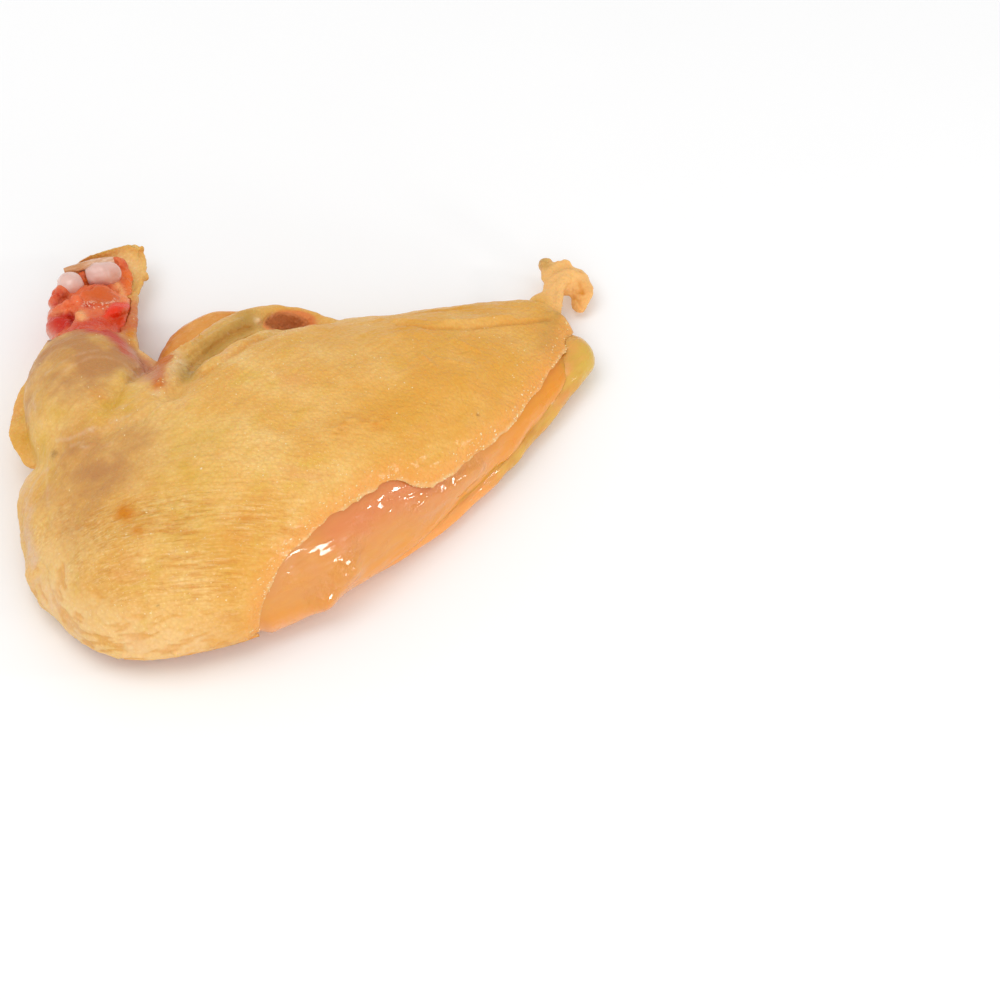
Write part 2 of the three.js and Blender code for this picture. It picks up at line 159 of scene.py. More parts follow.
OUTER_KNUCKLE = ([-28.4, 85.5, 15.4], [3.9, 4.4, 4.5], 10)
INNER_KNUCKLE = ([-18.8, 85.8, 15], [5.2, 3.4, 3.8], -18)


# Creases and small ridges of the skin: path, height (negative for a crease) and half-width.
RIB_CREASE = [[41.8, 17.7, 25.5], [48.8, 12, 25.5], [60.3, 9.1, 21.8], [73.1, 8.8, 17], [85.4, 7.8, 12.8]]
LOW_CREASE = [[30, 27, 26], [48.8, 23.1, 20.8], [63.7, 20.6, 17.6]]
KEEL_RIDGE = [[3.1, -17.5, 37.2], [9.1, -15.6, 36.1], [12.8, -18.9, 34.8], [17.7, -18.7, 33.6]]
STRIP_CREASE = [[-18.5, 27, 31], [-12.8, 34.4, 24.6], [-6.4, 37.8, 23.4], [-0.4, 39.8, 22.8], [7, 41, 21.2]]
TAIL_CREASES = [
    ([[99.2, 20, 6.2], [101, 18.4, 6.4], [102.4, 16.8, 5.8]], -0.45, 0.5),
    ([[103.2, 20.6, 7.2], [102.9, 18.6, 7], [102.5, 16.8, 6]], -0.35, 0.45),
    ([[99.6, 18, 5.4], [100.4, 15.6, 5.2], [100, 13.6, 4.4]], -0.4, 0.45),
    ([[103, 25.4, 9], [104.6, 24.6, 9], [105.6, 23.4, 8]], -0.4, 0.5),
    ([[98, 25.6, 10], [100.6, 26.6, 9.6], [103, 26.8, 9.4]], -0.6, 0.6)]
SHOULDER_SWELLS = [
    ([[-82.4, -1, 8], [-83.4, -10, 8]], 2.1, 4.8),
    ([[-70, 27, 12], [-74, 22, 12]], 1.3, 4.0),
    ([[-78.4, 13.5, 12], [-80.6, 7.5, 12]], -0.9, 4.4),
    ([[-83, -15, 8], [-81, -24, 8], [-78, -31, 7], [-69, -40, 6], [-55, -45, 6], [-42, -47.5, 6]],
     -0.7, 5.5)]
CREASES = [
    (RIB_CREASE, -0.8, 0.7),
    ([[41.8, 20.7, 24.5], [50.8, 15, 24.5], [62.3, 12.1, 20.8], [75.1, 11.8, 16]], 0.7, 1.1),
    (LOW_CREASE, -0.6, 0.7),
    ([[52.9, 4.9, 24.9], [57.3, -1.3, 23.5]], 0.55, 0.8),
    ([[40.3, 1.7, 29.1], [41.4, -4.8, 28.9]], 0.5, 0.7),
    ([[44, -1, 27.8], [52, -6, 25.5]], 0.35, 0.6),
    (KEEL_RIDGE, 0.3, 0.6),
    ([[-41.8, 10.6, 39], [-49.5, 13.9, 36], [-57.4, 16.8, 33.4], [-62.6, 19.2, 29.9]], -0.9, 2.2),
    ([[-33.4, 20.5, 36.8], [-32.6, 13.9, 38.7], [-41.8, 10.6, 39]], -0.5, 1.2),
    ([[-36.8, 34.1, 31.7], [-37.6, 28, 33.6], [-40.9, 22, 35.5]], 0.9, 2.2),
    ([[-51.4, 28.8, 34.7], [-50, 22, 35.4]], 0.5, 2.6),
    ([[-16.9, 20.3, 36.4], [-11.4, 29, 28], [-5.8, 35, 22.9], [-0.6, 37, 22.3], [5.7, 38.4, 21],
      [10.7, 39.6, 19.4]], 1.2, 1.1),
    (STRIP_CREASE, -0.9, 0.8),
    ([[-16, 36.6, 26], [-9.6, 40.2, 24], [-2.4, 42, 23.4], [5, 43.6, 22]], 0.7, 1.0),
    *TAIL_CREASES,
    ([[92, 15.6, 10], [95, 19.4, 10.2], [97, 22.6, 10]], -0.5, 0.6),
    *SHOULDER_SWELLS]


def smoothstep(value, low, high):
    share = np.clip((value - low) / (high - low), 0, 1)
    return share * share * (3 - 2 * share)


def unit(vectors):
    return vectors / (np.linalg.norm(vectors, axis=-1, keepdims=True) + 1e-12)


def swell(distance, width):
    """A soft hill, 1 at distance 0 and about a third at one width."""
    return np.exp(-(distance / width) ** 2)


def station_value(stations, place):
    """A smooth value from [place, value] stations in order of place."""
    spots, values = np.asarray(stations, float).T
    last = len(spots) - 1
    place = np.asarray(place, float)
    i = np.clip(np.searchsorted(spots, place, side="left") - 1, 0, last - 1)
    slopes = np.empty(last + 1)
    slopes[1:-1] = (values[2:] - values[:-2]) / (spots[2:] - spots[:-2])
    slopes[0] = (values[1] - values[0]) / (spots[1] - spots[0])
    slopes[-1] = (values[-1] - values[-2]) / (spots[-1] - spots[-2])
    length = spots[i + 1] - spots[i]
    s = np.clip((place - spots[i]) / length, 0, 1)
    return ((2 * s ** 3 - 3 * s ** 2 + 1) * values[i] + (s ** 3 - 2 * s ** 2 + s) * length * slopes[i]
            + (3 * s ** 2 - 2 * s ** 3) * values[i + 1] + (s ** 3 - s ** 2) * length * slopes[i + 1])


def curve_through(points, share, closed=False):
    """Places on a smooth curve through points, at shares of its count of points."""
    points = np.asarray(points, float)
    count = len(points)
    share = np.asarray(share, float)
    if closed:
        spot = (share % 1.0) * count
        i = np.floor(spot).astype(int)
        near = [points[(i + k) % count] for k in (-1, 0, 1, 2)]
    else:
        spot = share * (count - 1)
        i = np.clip(np.floor(spot).astype(int), 0, count - 2)
        longer = np.vstack([2 * points[0] - points[1], points, 2 * points[-1] - points[-2]])
        near = [longer[i + k] for k in (0, 1, 2, 3)]
    w = (spot - i)[..., None]
    start, end = 0.5 * (near[2] - near[0]), 0.5 * (near[3] - near[1])
    return (near[1] + start * w + (-3 * near[1] + 3 * near[2] - 2 * start - end) * w ** 2
            + (2 * near[1] - 2 * near[2] + start + end) * w ** 3)


OUTLINE_SHARES = np.linspace(0, 1, 2001)
OUTLINE_PLACES = curve_through(OUTLINE, OUTLINE_SHARES, closed=True)
OUTLINE_RUN = np.concatenate([[0], np.cumsum(np.linalg.norm(np.diff(OUTLINE_PLACES, axis=0), axis=1))])
OUTLINE_LENGTH = OUTLINE_RUN[-1]


def outline_at(turn):
    """The outline's place at a share of the way round it, anticlockwise."""
    share = np.interp((np.asarray(turn, float) % 1.0) * OUTLINE_LENGTH, OUTLINE_RUN, OUTLINE_SHARES)
    return curve_through(OUTLINE, share, closed=True)


def distance_to_path(places, path):
    """Distance from each place to a path of straight pieces, in plan or in space."""
    path = np.asarray(path, float)
    least = np.full(places.shape[:-1], np.inf)
    for start, end in zip(path[:-1], path[1:]):
        run = end - start
        share = np.clip((places - start) @ run / (run @ run), 0, 1)
        least = np.minimum(least, np.linalg.norm(places - start - share[..., None] * run, axis=-1))
    return least


def strokes(places, marks, before=0.0):
    """Soft strokes laid one after another over what was there: path, height or strength, half-width."""
    laid = (strength * swell(distance_to_path(places, path), width) for path, strength, width in marks)
    return sum(laid, before)


def random_at(cell, seed):
    """Random numbers from -1 to 1 at whole-number places."""
    cell = cell.astype(np.uint32)
    mixed = cell[..., 0] * np.uint32(73856093) ^ cell[..., 1] * np.uint32(19349663)
    mixed = mixed ^ cell[..., 2] * np.uint32(83492791) ^ np.uint32(seed * 7919 + 17)
    mixed = (mixed ^ (mixed >> np.uint32(13))) * np.uint32(1274126177)
    mixed = (mixed ^ (mixed >> np.uint32(15))) * np.uint32(2246822519)
    return ((mixed >> np.uint32(8)) & np.uint32(65535)) / 32767.5 - 1


def noise(places, size, seed, octaves=1):
    """Smooth random values from about -1 to 1. Size is one or three lengths of a wave in millimetres."""
    total = 0
    for octave in range(octaves):
        spot = places / (np.asarray(size, float) / 2 ** octave)
        cell = np.floor(spot).astype(np.int64)
        share = spot - cell
        share = share ** 3 * (share * (share * 6 - 15) + 10)
        for corner in itertools.product((0, 1), repeat=3):
            weight = np.prod(np.where(corner, share, 1 - share), axis=-1)
            total = total + weight * random_at(cell + corner, seed + 31 * octave) / 2 ** octave
    return total


def wrinkles(across, along, spacing, length, seed):
    """Long narrow wrinkles from 0 to 1, from places across and along them in millimetres."""
    places = np.stack([across, along, np.zeros_like(across)], -1)
    drift = 0.8 * spacing * noise(places, [5 * spacing, length, 1], seed + 5)
    wave = noise(places + np.stack([drift, 0 * drift, 0 * drift], -1), [spacing, length, 1], seed)
    return 1 - np.abs(wave)


def dome_point(turn, reach):
    """A point of the bare breast: reach is 0 at the top, 1 at the widest line and 2 underneath."""
    turn, reach = np.broadcast_arrays(np.asarray(turn, float), np.asarray(reach, float))
    edge = outline_at(turn)
    over = reach <= 1
    angle = np.where(over, reach, 2 - reach) * math.pi / 2
    keel = smoothstep(-edge[..., 1], -20, 40)
    sharpness = np.where(over, RIB_SHARPNESS + (KEEL_SHARPNESS - RIB_SHARPNESS) * keel, UNDERSIDE_SHARPNESS)
    out = np.clip(np.sin(angle), 0, None) ** (2 / sharpness)
    rise = np.clip(np.cos(angle), 0, None)
    plan = BREAST_CENTRE + (edge - BREAST_CENTRE) * out[..., None]
    folds = strokes(plan, FOLDS) * np.minimum(1, 2 * rise)
    top = RIM_HEIGHT + rise * (station_value(CREST, plan[..., 0]) - RIM_HEIGHT) + folds
    under = np.maximum(0, RIM_HEIGHT - rise * (RIM_HEIGHT + BASE_SINK))
    return np.concatenate([plan, np.where(over, top, under)[..., None]], -1)


def breast_point(turn, reach, offset):
    """The same point moved out from the surface by an offset."""
    at = np.clip(reach, 0.02, 1.98)
    step = 0.005
    along = dome_point(turn + step, at) - dome_point(turn - step, at)
    outward = dome_point(turn, at + step) - dome_point(turn, at - step)
    return dome_point(turn, reach) + unit(np.cross(outward, along)) * offset


def breast_rings(offset, reaches, turns):
    """Rings of the breast at an offset: turns are shares of the way round, or a count of even ones."""
    turns = np.arange(turns) / turns if np.isscalar(turns) else turns
    return breast_point(turns[None, :], np.asarray(reaches)[:, None], offset)


def sweep_frame(stations, share):
    """Centre, side, top and half-sizes of a swept form at shares of its run."""
    stations = np.asarray(stations, float)
    ahead = curve_through(stations[:, :3], share + 1e-3)
    behind = curve_through(stations[:, :3], share - 1e-3)
    tangent = unit(ahead - behind)
    sizes = curve_through(stations[:, 3:], share)
    roll = np.radians(sizes[..., 2:])
    level = unit(np.cross(tangent, [0.0, 0.0, 1.0]))
    side = level * np.cos(roll) + np.cross(tangent, level) * np.sin(roll)
    return curve_through(stations[:, :3], share), tangent, side, np.cross(side, tangent), sizes


def sweep_rings(stations, shares, sides, offset=0.0, shrink=1.0, shift=0.0):
    """Rings of a swept form. Shares may differ round the ring; shrink and shift round its ends off."""
    shares = np.atleast_1d(shares)
    shares = shares[:, None] if shares.ndim == 1 else shares
    shares = np.broadcast_to(shares, (shares.shape[0], sides))
    centre, tangent, side, top, sizes = sweep_frame(stations, shares)
    angle = 2 * math.pi * np.arange(sides) / sides
    shrink = np.broadcast_to(np.atleast_1d(shrink)[:, None], shares.shape)
    shift = np.broadcast_to(np.atleast_1d(shift)[:, None], shares.shape)
    centre = centre + tangent * (shift * (sizes[..., 0] + offset))[..., None]
    wide = (np.cos(angle) * (sizes[..., 0] + offset) * shrink)[..., None]
    high = (np.sin(angle) * (sizes[..., 1] + offset) * shrink)[..., None]
    return centre + side * wide + top * high


def swept(stations, slices, sides, offset=0.0):
    """All rings of a swept form with rounded ends."""
    cap = 7
    ends = np.sin(np.linspace(0, 1, cap + 1)[1:] * math.pi / 2 * 0.97)
    narrow = np.sqrt(1 - ends ** 2)
    first = sweep_rings(stations, np.zeros(cap), sides, offset, narrow, -ends)[::-1]
    last = sweep_rings(stations, np.ones(cap), sides, offset, narrow, ends)
    middle = sweep_rings(stations, np.linspace(0, 1, slices + 1), sides, offset)
    return np.concatenate([first, middle, last])


def egg_rings(form, offset=0.0, sides=48):
    """Rings of an egg-shaped form."""
    centre, half, turn = form
    tilt = np.linspace(0.04, math.pi - 0.04, sides // 2)[:, None]
    angle = -2 * math.pi * np.arange(sides)[None, :] / sides
    out = np.sin(tilt)
    ball = np.stack([out * np.cos(angle), out * np.sin(angle), np.cos(tilt) + 0 * angle], -1)
    ball = ball * (np.asarray(half, float) + offset)
    c, s = math.cos(math.radians(turn)), math.sin(math.radians(turn))
    return ball @ np.array([[c, s, 0], [-s, c, 0], [0, 0, 1]]) + centre


def lumps_along(path, count, spread, least, most, seed):
    """Small uneven lumps that stray from a path by a spread, between a least and a most half-size."""
    luck = np.random.default_rng(seed)
    spots = curve_through(path, luck.uniform(0, 1, count)) + luck.normal(0, spread, (count, 3))
    sizes = luck.uniform(least, most, (count, 3))
    turns = luck.uniform(0, 180, count)
    return [egg_rings((spot, half, turn), sides=16) for spot, half, turn in zip(spots, sizes, turns)]


def solid_faces(rings):
    """Corners and faces of a closed solid through rings of equally many points, its ends closed by fans."""
    count, sides = rings.shape[:2]
    corners = np.concatenate([rings.reshape(-1, 3), rings[:1].mean(1), rings[-1:].mean(1)])
    index = np.arange(count * sides).reshape(count, sides)
    here, after = index[:-1], np.roll(index[:-1], -1, axis=1)
    above, diagonal = index[1:], np.roll(index[1:], -1, axis=1)
    walls = np.stack([here, above, diagonal, after], -1).reshape(-1, 4).tolist()
    ring = np.arange(sides)
    first = [[count * sides, a, b] for a, b in zip(ring, np.roll(ring, -1))]
    ring = ring + (count - 1) * sides
    last = [[count * sides + 1, b, a] for a, b in zip(ring, np.roll(ring, -1))]
    return corners, walls + first + last


def solid(name, *groups):
    """One object with a closed solid for each set of rings, in millimetres."""
    corners, faces = [], []
    for rings in groups:
        more, sheet = solid_faces(rings)
        start = sum(len(c) for c in corners)
        corners.append(more)
        faces += [[start + k for k in face] for face in sheet]
    mesh = bpy.data.meshes.new(name)
    mesh.from_pydata(np.concatenate(corners).tolist(), [], faces)
    thing = bpy.data.objects.new(name, mesh)
    bpy.context.scene.collection.objects.link(thing)
    return thing


def bake(thing, kind, **settings):
    """Applies one modifier to a piece and keeps the result as its plain mesh."""
    modifier = thing.modifiers.new(kind.lower(), kind)
    for name, value in settings.items():
        setattr(modifier, name, value)
    shape = bpy.context.evaluated_depsgraph_get()
    mesh = bpy.data.meshes.new_from_object(thing.evaluated_get(shape))
    thing.modifiers.clear()
    old = thing.data
    thing.data = mesh
    bpy.data.meshes.remove(old)
    return thing


def cut_away(thing, *tools):
    """Cuts each tool's solid out of a piece, then removes the tools."""
    for tool in tools:
        bake(thing, "BOOLEAN", operation="DIFFERENCE", solver="MANIFOLD", object=tool)
        bpy.data.objects.remove(tool)
    return thing


def fuse(thing, voxel, smoothing):
    """Melts a piece's overlapping solids into one even skin of small faces."""
    bake(thing, "REMESH", mode="VOXEL", voxel_size=voxel)
    return bake(thing, "SMOOTH", factor=0.5, iterations=smoothing)


def places_of(thing):
    places = np.empty(len(thing.data.vertices) * 3, np.float32)
    thing.data.vertices.foreach_get("co", places)
    return places.reshape(-1, 3).astype(float)


def normals_of(thing):
    normals = np.empty(len(thing.data.vertices) * 3, np.float32)
    thing.data.vertex_normals.foreach_get("vector", normals)
    return normals.reshape(-1, 3).astype(float)


def set_places(thing, places):
    thing.data.vertices.foreach_set("co", places.astype(np.float32).ravel())
    thing.data.update()


def raise_surface(thing, heights):
    """Moves a piece's surface out by heights in millimetres."""
    set_places(thing, places_of(thing) + normals_of(thing) * heights[:, None])


def thin_out(thing, most):
    """Merges a piece's flattest faces until it has no more triangles than allowed."""
    count = sum(len(face.vertices) - 2 for face in thing.data.polygons)
    return bake(thing, "DECIMATE", ratio=min(1, most / count))


def drop_scraps(thing):
    """Keeps only the largest connected part of a piece."""
    body = bmesh.new()
    body.from_mesh(thing.data)
    left = set(body.verts)
    parts = []
    while left:
        start = left.pop()
        part, edge = {start}, [start]
        while edge:
            corner = edge.pop()
            for link in corner.link_edges:
                other = link.other_vert(corner)
                if other in left:
                    left.discard(other)
                    part.add(other)
                    edge.append(other)
        parts.append(part)
    parts.sort(key=len)
    for part in parts[:-1]:
        bmesh.ops.delete(body, geom=list(part), context="VERTS")
    body.to_mesh(thing.data)
    body.free()
    return thing


def paint(thing, **masks):
    """Keeps named values from 0 to 1 at the corners of a piece's mesh, for its finish to read."""
    for name, values in masks.items():
        layer = thing.data.attributes.new(name, "FLOAT", "POINT")
        layer.data.foreach_set("value", np.clip(values, 0, 1).astype(np.float32))


# The least and most size of a bead along its three axes, as shares of its size.
BEAD_LEAST = (0.35, 0.3, 0.25)
BEAD_MOST = (1.2, 0.8, 0.5)


def scatter_beads(carrier, name, finish, mask_name, density, size, seed):
    """Small flattened beads over a piece where a painted mask allows, so many on a square millimetre."""
    tree = bpy.data.node_groups.new(name, "GeometryNodeTree")
    named = {}
    for title, kind in (("Geometry", "Geometry"), ("Density", "Float"), ("Size", "Float"), ("Seed", "Int")):
        named[title] = tree.interface.new_socket(title, in_out="INPUT", socket_type="NodeSocket" + kind)
    tree.interface.new_socket("Geometry", in_out="OUTPUT", socket_type="NodeSocketGeometry")
    given = tree.nodes.new("NodeGroupInput")
    painted = node(tree, "GeometryNodeInputNamedAttribute", {"Name": mask_name}, data_type="FLOAT")
    thick = product(tree, painted.outputs["Attribute"], given.outputs["Density"])
    spread = node(tree, "GeometryNodeDistributePointsOnFaces", {
        "Mesh": given.outputs["Geometry"], "Density": thick, "Seed": given.outputs["Seed"]})
    ball = node(tree, "GeometryNodeMeshIcoSphere", {"Radius": given.outputs["Size"], "Subdivisions": 2})
    sizes = node(tree, "FunctionNodeRandomValue", {"Seed": given.outputs["Seed"]}, data_type="FLOAT_VECTOR")
    sizes.inputs[0].default_value = BEAD_LEAST
    sizes.inputs[1].default_value = BEAD_MOST
    beads = node(tree, "GeometryNodeInstanceOnPoints", {
        "Points": spread.outputs["Points"], "Instance": ball.outputs["Mesh"],
        "Rotation": spread.outputs["Rotation"], "Scale": sizes.outputs["Value"]})
    real = node(tree, "GeometryNodeRealizeInstances", {"Geometry": beads.outputs["Instances"]})
    coloured = node(tree, "GeometryNodeSetMaterial", {
        "Geometry": real.outputs["Geometry"], "Material": finish})
    result = tree.nodes.new("NodeGroupOutput")
    tree.links.new(coloured.outputs["Geometry"], result.inputs["Geometry"])
    modifier = carrier.modifiers.new(name, "NODES")
    modifier.node_group = tree
    for title, value in (("Density", density), ("Size", size), ("Seed", seed)):
        modifier[named[title].identifier] = value
    shape = bpy.context.evaluated_depsgraph_get()
    mesh = bpy.data.meshes.new_from_object(carrier.evaluated_get(shape))
    carrier.modifiers.clear()
    thing = bpy.data.objects.new(name, mesh)
    bpy.context.scene.collection.objects.link(thing)
    return thing


def place_piece(thing, finish, cad_node=None):
    """Puts a finished piece in the object's own frame, in metres, and in place of its node if it has one."""
    places = places_of(thing)
    places[:, 2] = np.maximum(places[:, 2], 0)
    set_places(thing, (places - MIDDLE) * MM)
    thing.data.materials.clear()
    thing.data.materials.append(finish)
    thing.data.polygons.foreach_set("use_smooth", np.ones(len(thing.data.polygons), bool))
    thing.data.update()
    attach(thing, "root")
    if cad_node:
        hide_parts(cad_node)


def set_camera():
    """The photograph's view: from the keel side, looking down at about fifty degrees."""
    back = -Vector(CAMERA_VIEW)
    right = Vector(CAMERA_RIGHT)
    turn = Matrix((right, back.cross(right), back)).transposed()
    data = bpy.data.cameras.new("camera")
    data.sensor_width = FILM_WIDTH
    data.lens = FILM_WIDTH * LENS_TO_FILM
    data.clip_start, data.clip_end = 0.05, 20
    camera = bpy.data.objects.new("camera", data)
    camera.matrix_world = Matrix.Translation(CAMERA_PLACE) @ turn.to_4x4()
    bpy.context.scene.collection.objects.link(camera)
    bpy.context.scene.camera = camera


def add_lamp(name, toward, distance, width, height, power):
    """A softbox that shines at the breast from a direction."""
    data = bpy.data.lights.new(name, "AREA")
    data.shape = "RECTANGLE"
    data.size = width
    data.size_y = height
    data.energy = power
    lamp = bpy.data.objects.new(name, data)
    spot = Vector(toward).normalized() * distance
    lamp.matrix_world = Matrix.Translation(spot) @ spot.to_track_quat("Z", "Y").to_matrix().to_4x4()
    bpy.context.scene.collection.objects.link(lamp)


def linear(red, green, blue):
    """A colour from its values of 0 to 255, as the shader wants it."""
    values = np.array([red, green, blue]) / 255
    return (*np.where(values <= 0.04045, values / 12.92, ((values + 0.055) / 1.055) ** 2.4).tolist(), 1.0)


def feed(tree, socket, value):
    if isinstance(value, bpy.types.NodeSocket):
        tree.links.new(value, socket)
    else:
        socket.default_value = value


def node(tree, kind, inputs=None, **settings):
    made = tree.nodes.new(kind)
    for name, value in settings.items():
        setattr(made, name, value)
    for name, value in (inputs or {}).items():
        feed(tree, made.inputs[name], value)
    return made


def mixed(tree, amount, first, second):
    """The second colour laid over the first by an amount."""
    made = node(tree, "ShaderNodeMix", data_type="RGBA")
    for index, value in ((0, amount), (6, first), (7, second)):
        feed(tree, made.inputs[index], value)
    return made.outputs[2]


def calculate(tree, how, first, second, clamp=False):
    made = node(tree, "ShaderNodeMath", operation=how, use_clamp=clamp)
    feed(tree, made.inputs[0], first)
    feed(tree, made.inputs[1], second)
    return made.outputs[0]


def product(tree, first, second):
    return calculate(tree, "MULTIPLY", first, second)


def rest_of_one(tree, value):
    return calculate(tree, "SUBTRACT", 1.0, value)


def ranged(tree, value, low, high, first=0.0, last=1.0):
    made = node(tree, "ShaderNodeMapRange", {
        "Value": value, "From Min": low, "From Max": high, "To Min": first, "To Max": last},
        interpolation_type="SMOOTHSTEP")
    return made.outputs["Result"]


def place_in_mm(tree, stretch=(1, 1, 1), turn=0.0):
    """The piece's own place in millimetres, stretched so that a pattern grows longer along a turned axis."""
    where = node(tree, "ShaderNodeTexCoord").outputs["Object"]
    mapping = node(tree, "ShaderNodeMapping", {
        "Vector": where, "Scale": [s * MM for s in stretch], "Rotation": (0, 0, math.radians(turn))},
        vector_type="TEXTURE")
    return mapping.outputs["Vector"]


def mottle(tree, size, detail=2.0, stretch=(1, 1, 1), turn=0.0, roughness=0.5):
    """Soft blotches about size millimetres across."""
    made = node(tree, "ShaderNodeTexNoise", {
        "Vector": place_in_mm(tree, stretch, turn), "Scale": 1 / size, "Detail": detail,
        "Roughness": roughness})
    return made.outputs["Fac"]


def granules(tree, size, feature="F1"):
    """Small rounded grains about size millimetres apart: the distance from the middle of each."""
    made = node(tree, "ShaderNodeTexVoronoi", {
        "Vector": place_in_mm(tree), "Scale": 1 / size, "Randomness": 1.0}, feature=feature)
    return made.outputs["Distance"]


def plain_mask(tree, name):
    return node(tree, "ShaderNodeAttribute", attribute_name=name).outputs["Fac"]


# How far blotches push the edge of a painted mask about.
EDGE_BREAK = 0.7


def broken_mask(tree, name, size):
    """A painted mask of the piece, its edge broken up by blotches about size millimetres across."""
    value = plain_mask(tree, name)
    rough = product(tree, calculate(tree, "SUBTRACT", mottle(tree, size, 3), 0.5), EDGE_BREAK)
    middle = product(tree, product(tree, value, rest_of_one(tree, value)), 4.0)
    return calculate(tree, "ADD", value, product(tree, rough, middle), True)


def bumped(tree, height, size_mm, before=None):
    """A bump whose height is given as a share of size millimetres."""
    inputs = {"Height": height, "Distance": size_mm * MM, "Strength": 1.0}
    if before is not None:
        inputs["Normal"] = before
    return node(tree, "ShaderNodeBump", inputs).outputs["Normal"]


def new_finish(name):
    """A new material, its tree and its shader."""
    finish = bpy.data.materials.new(name)
    finish.use_nodes = True
    return finish, finish.node_tree, finish.node_tree.nodes["Principled BSDF"]


def set_wetness(shader, flesh, depth, coat, coat_roughness, glow=(1.0, 0.42, 0.16), gloss=0.35):
    """How much light goes through the flesh, how far in millimetres, and the film of moisture over it."""
    shader.inputs["Subsurface Weight"].default_value = flesh
    shader.inputs["Subsurface Radius"].default_value = glow
    shader.inputs["Subsurface Scale"].default_value = depth * MM
    shader.inputs["Coat Weight"].default_value = coat
    shader.inputs["Coat Roughness"].default_value = coat_roughness
    shader.inputs["IOR"].default_value = 1.4
    shader.inputs["Specular IOR Level"].default_value = gloss


def set_roughness(tree, shader, size, least, most):
    """Roughness that goes from a least to a most in blotches about size millimetres across."""
    feed(tree, shader.inputs["Roughness"], ranged(tree, mottle(tree, size), 0.3, 0.7, least, most))


def blotched(tree, size, detail, low, high, first, second):
    """Two colours in soft blotches about size millimetres across."""
    return mixed(tree, ranged(tree, mottle(tree, size, detail), low, high), linear(*first), linear(*second))


def flecked(tree, colour, pattern, low, high, strength, tint, where=None):
    """A colour with a tint laid over it as a pattern goes from low to high, only where a mask allows."""
    amount = ranged(tree, pattern, low, high, 0, strength)
    if where is not None:
        amount = product(tree, amount, where)
    return mixed(tree, amount, colour, linear(*tint))


def tinted(tree, colour, tints):
    """A colour with painted tints laid over it: mask name, size of its broken edge in mm, tint, strength."""
    for name, size, tint, strength in tints:
        colour = mixed(tree, product(tree, broken_mask(tree, name, size), strength), colour, linear(*tint))
    return colour


def skin_finish():
    """Fatty yellow skin: warm and lemon patches, fine streaks along its pull, granules, painted glints, tints
    and shade.
    """
    finish, tree, shader = new_finish("moist_yellow_skin")
    fat = blotched(tree, 17, 3, 0.36, 0.64, (239, 194, 114), (230, 175, 86))
    fat = flecked(tree, fat, mottle(tree, 7, 4, (2, 1, 1), 20), 0.5, 0.72, 0.6, (222, 178, 74))
    keel_streaks = mottle(tree, 1.1, 4, (7, 1, 2), -25, 0.6)
    rib_streaks = mottle(tree, 1.3, 4, (7, 1, 2), 20, 0.6)
    streaks = mixed(tree, plain_mask(tree, "rib_side"), keel_streaks, rib_streaks)
    flat = rest_of_one(tree, plain_mask(tree, "pleated"))
    fat = flecked(tree, fat, streaks, 0.5, 0.28, 0.3, (216, 146, 62), flat)
    fat = flecked(tree, fat, streaks, 0.52, 0.74, 0.3, (245, 210, 146), flat)
    fat = flecked(tree, fat, mottle(tree, 9, 3, (1.6, 1, 1), -20), 0.56, 0.74, 0.45, (228, 162, 100))
    creased = plain_mask(tree, "creased")
    lines = mottle(tree, 0.6, 3, (14, 1, 2), -25, 0.6)
    fat = flecked(tree, fat, lines, 0.5, 0.34, 0.6, (212, 140, 50), creased)
    fat = flecked(tree, fat, lines, 0.52, 0.68, 0.5, (250, 218, 160), creased)
    cells = granules(tree, 1.1)
    fat = flecked(tree, fat, cells, 0.3, 0.8, 0.28, (214, 148, 66))
    # Tiny pale dots: painted glints of the wet skin, in part pale grains of fat.
    fat = flecked(tree, fat, mottle(tree, 0.55), 0.64, 0.76, 0.55, (252, 232, 186))
    colour = tinted(tree, fat, [
        ("warm", 6, (222, 154, 42), 0.68), ("lemon", 3, (214, 166, 50), 0.85),
        ("blush", 3, (188, 130, 74), 0.95), ("tail", 4, (242, 188, 118), 0.8),
        ("olive", 3, (182, 140, 62), 1), ("thin", 1.2, (234, 156, 70), 0.9),
        # crease_shade: painted shade, darker orange along the skin's creases and wrinkles.
        ("crease_shade", 1, (214, 136, 48), 0.65), ("pale", 1.5, (240, 204, 152), 1),
        ("membrane", 1, (226, 192, 160), 1), ("amber", 1.2, (214, 130, 2), 1),
        ("deep", 1.5, (206, 112, 22), 1), ("pink", 1.6, (198, 60, 30), 1),
        # purple_painted_sheen: partly the skin's purplish tint, partly a painted sheen.
        ("purple_painted_sheen", 1.2, (200, 136, 104), 1), ("pocket", 2, (226, 134, 70), 1),
        ("dark_speck", 0.5, (128, 76, 30), 1)])
    feed(tree, shader.inputs["Base Color"], colour)
    dry = ranged(tree, mottle(tree, 5, 3), 0.3, 0.7, 0.46, 0.6)
    moisture = product(tree, plain_mask(tree, "wet"), 0.26)
    feed(tree, shader.inputs["Roughness"], calculate(tree, "SUBTRACT", dry, moisture))
    grains = bumped(tree, cells, 0.26)
    grains = bumped(tree, product(tree, lines, creased), 0.5, grains)
    feed(tree, shader.inputs["Normal"], bumped(tree, product(tree, streaks, flat), 0.34, grains))
    set_wetness(shader, flesh=0.25, depth=1.4, coat=0.16, coat_roughness=0.14)
    return finish


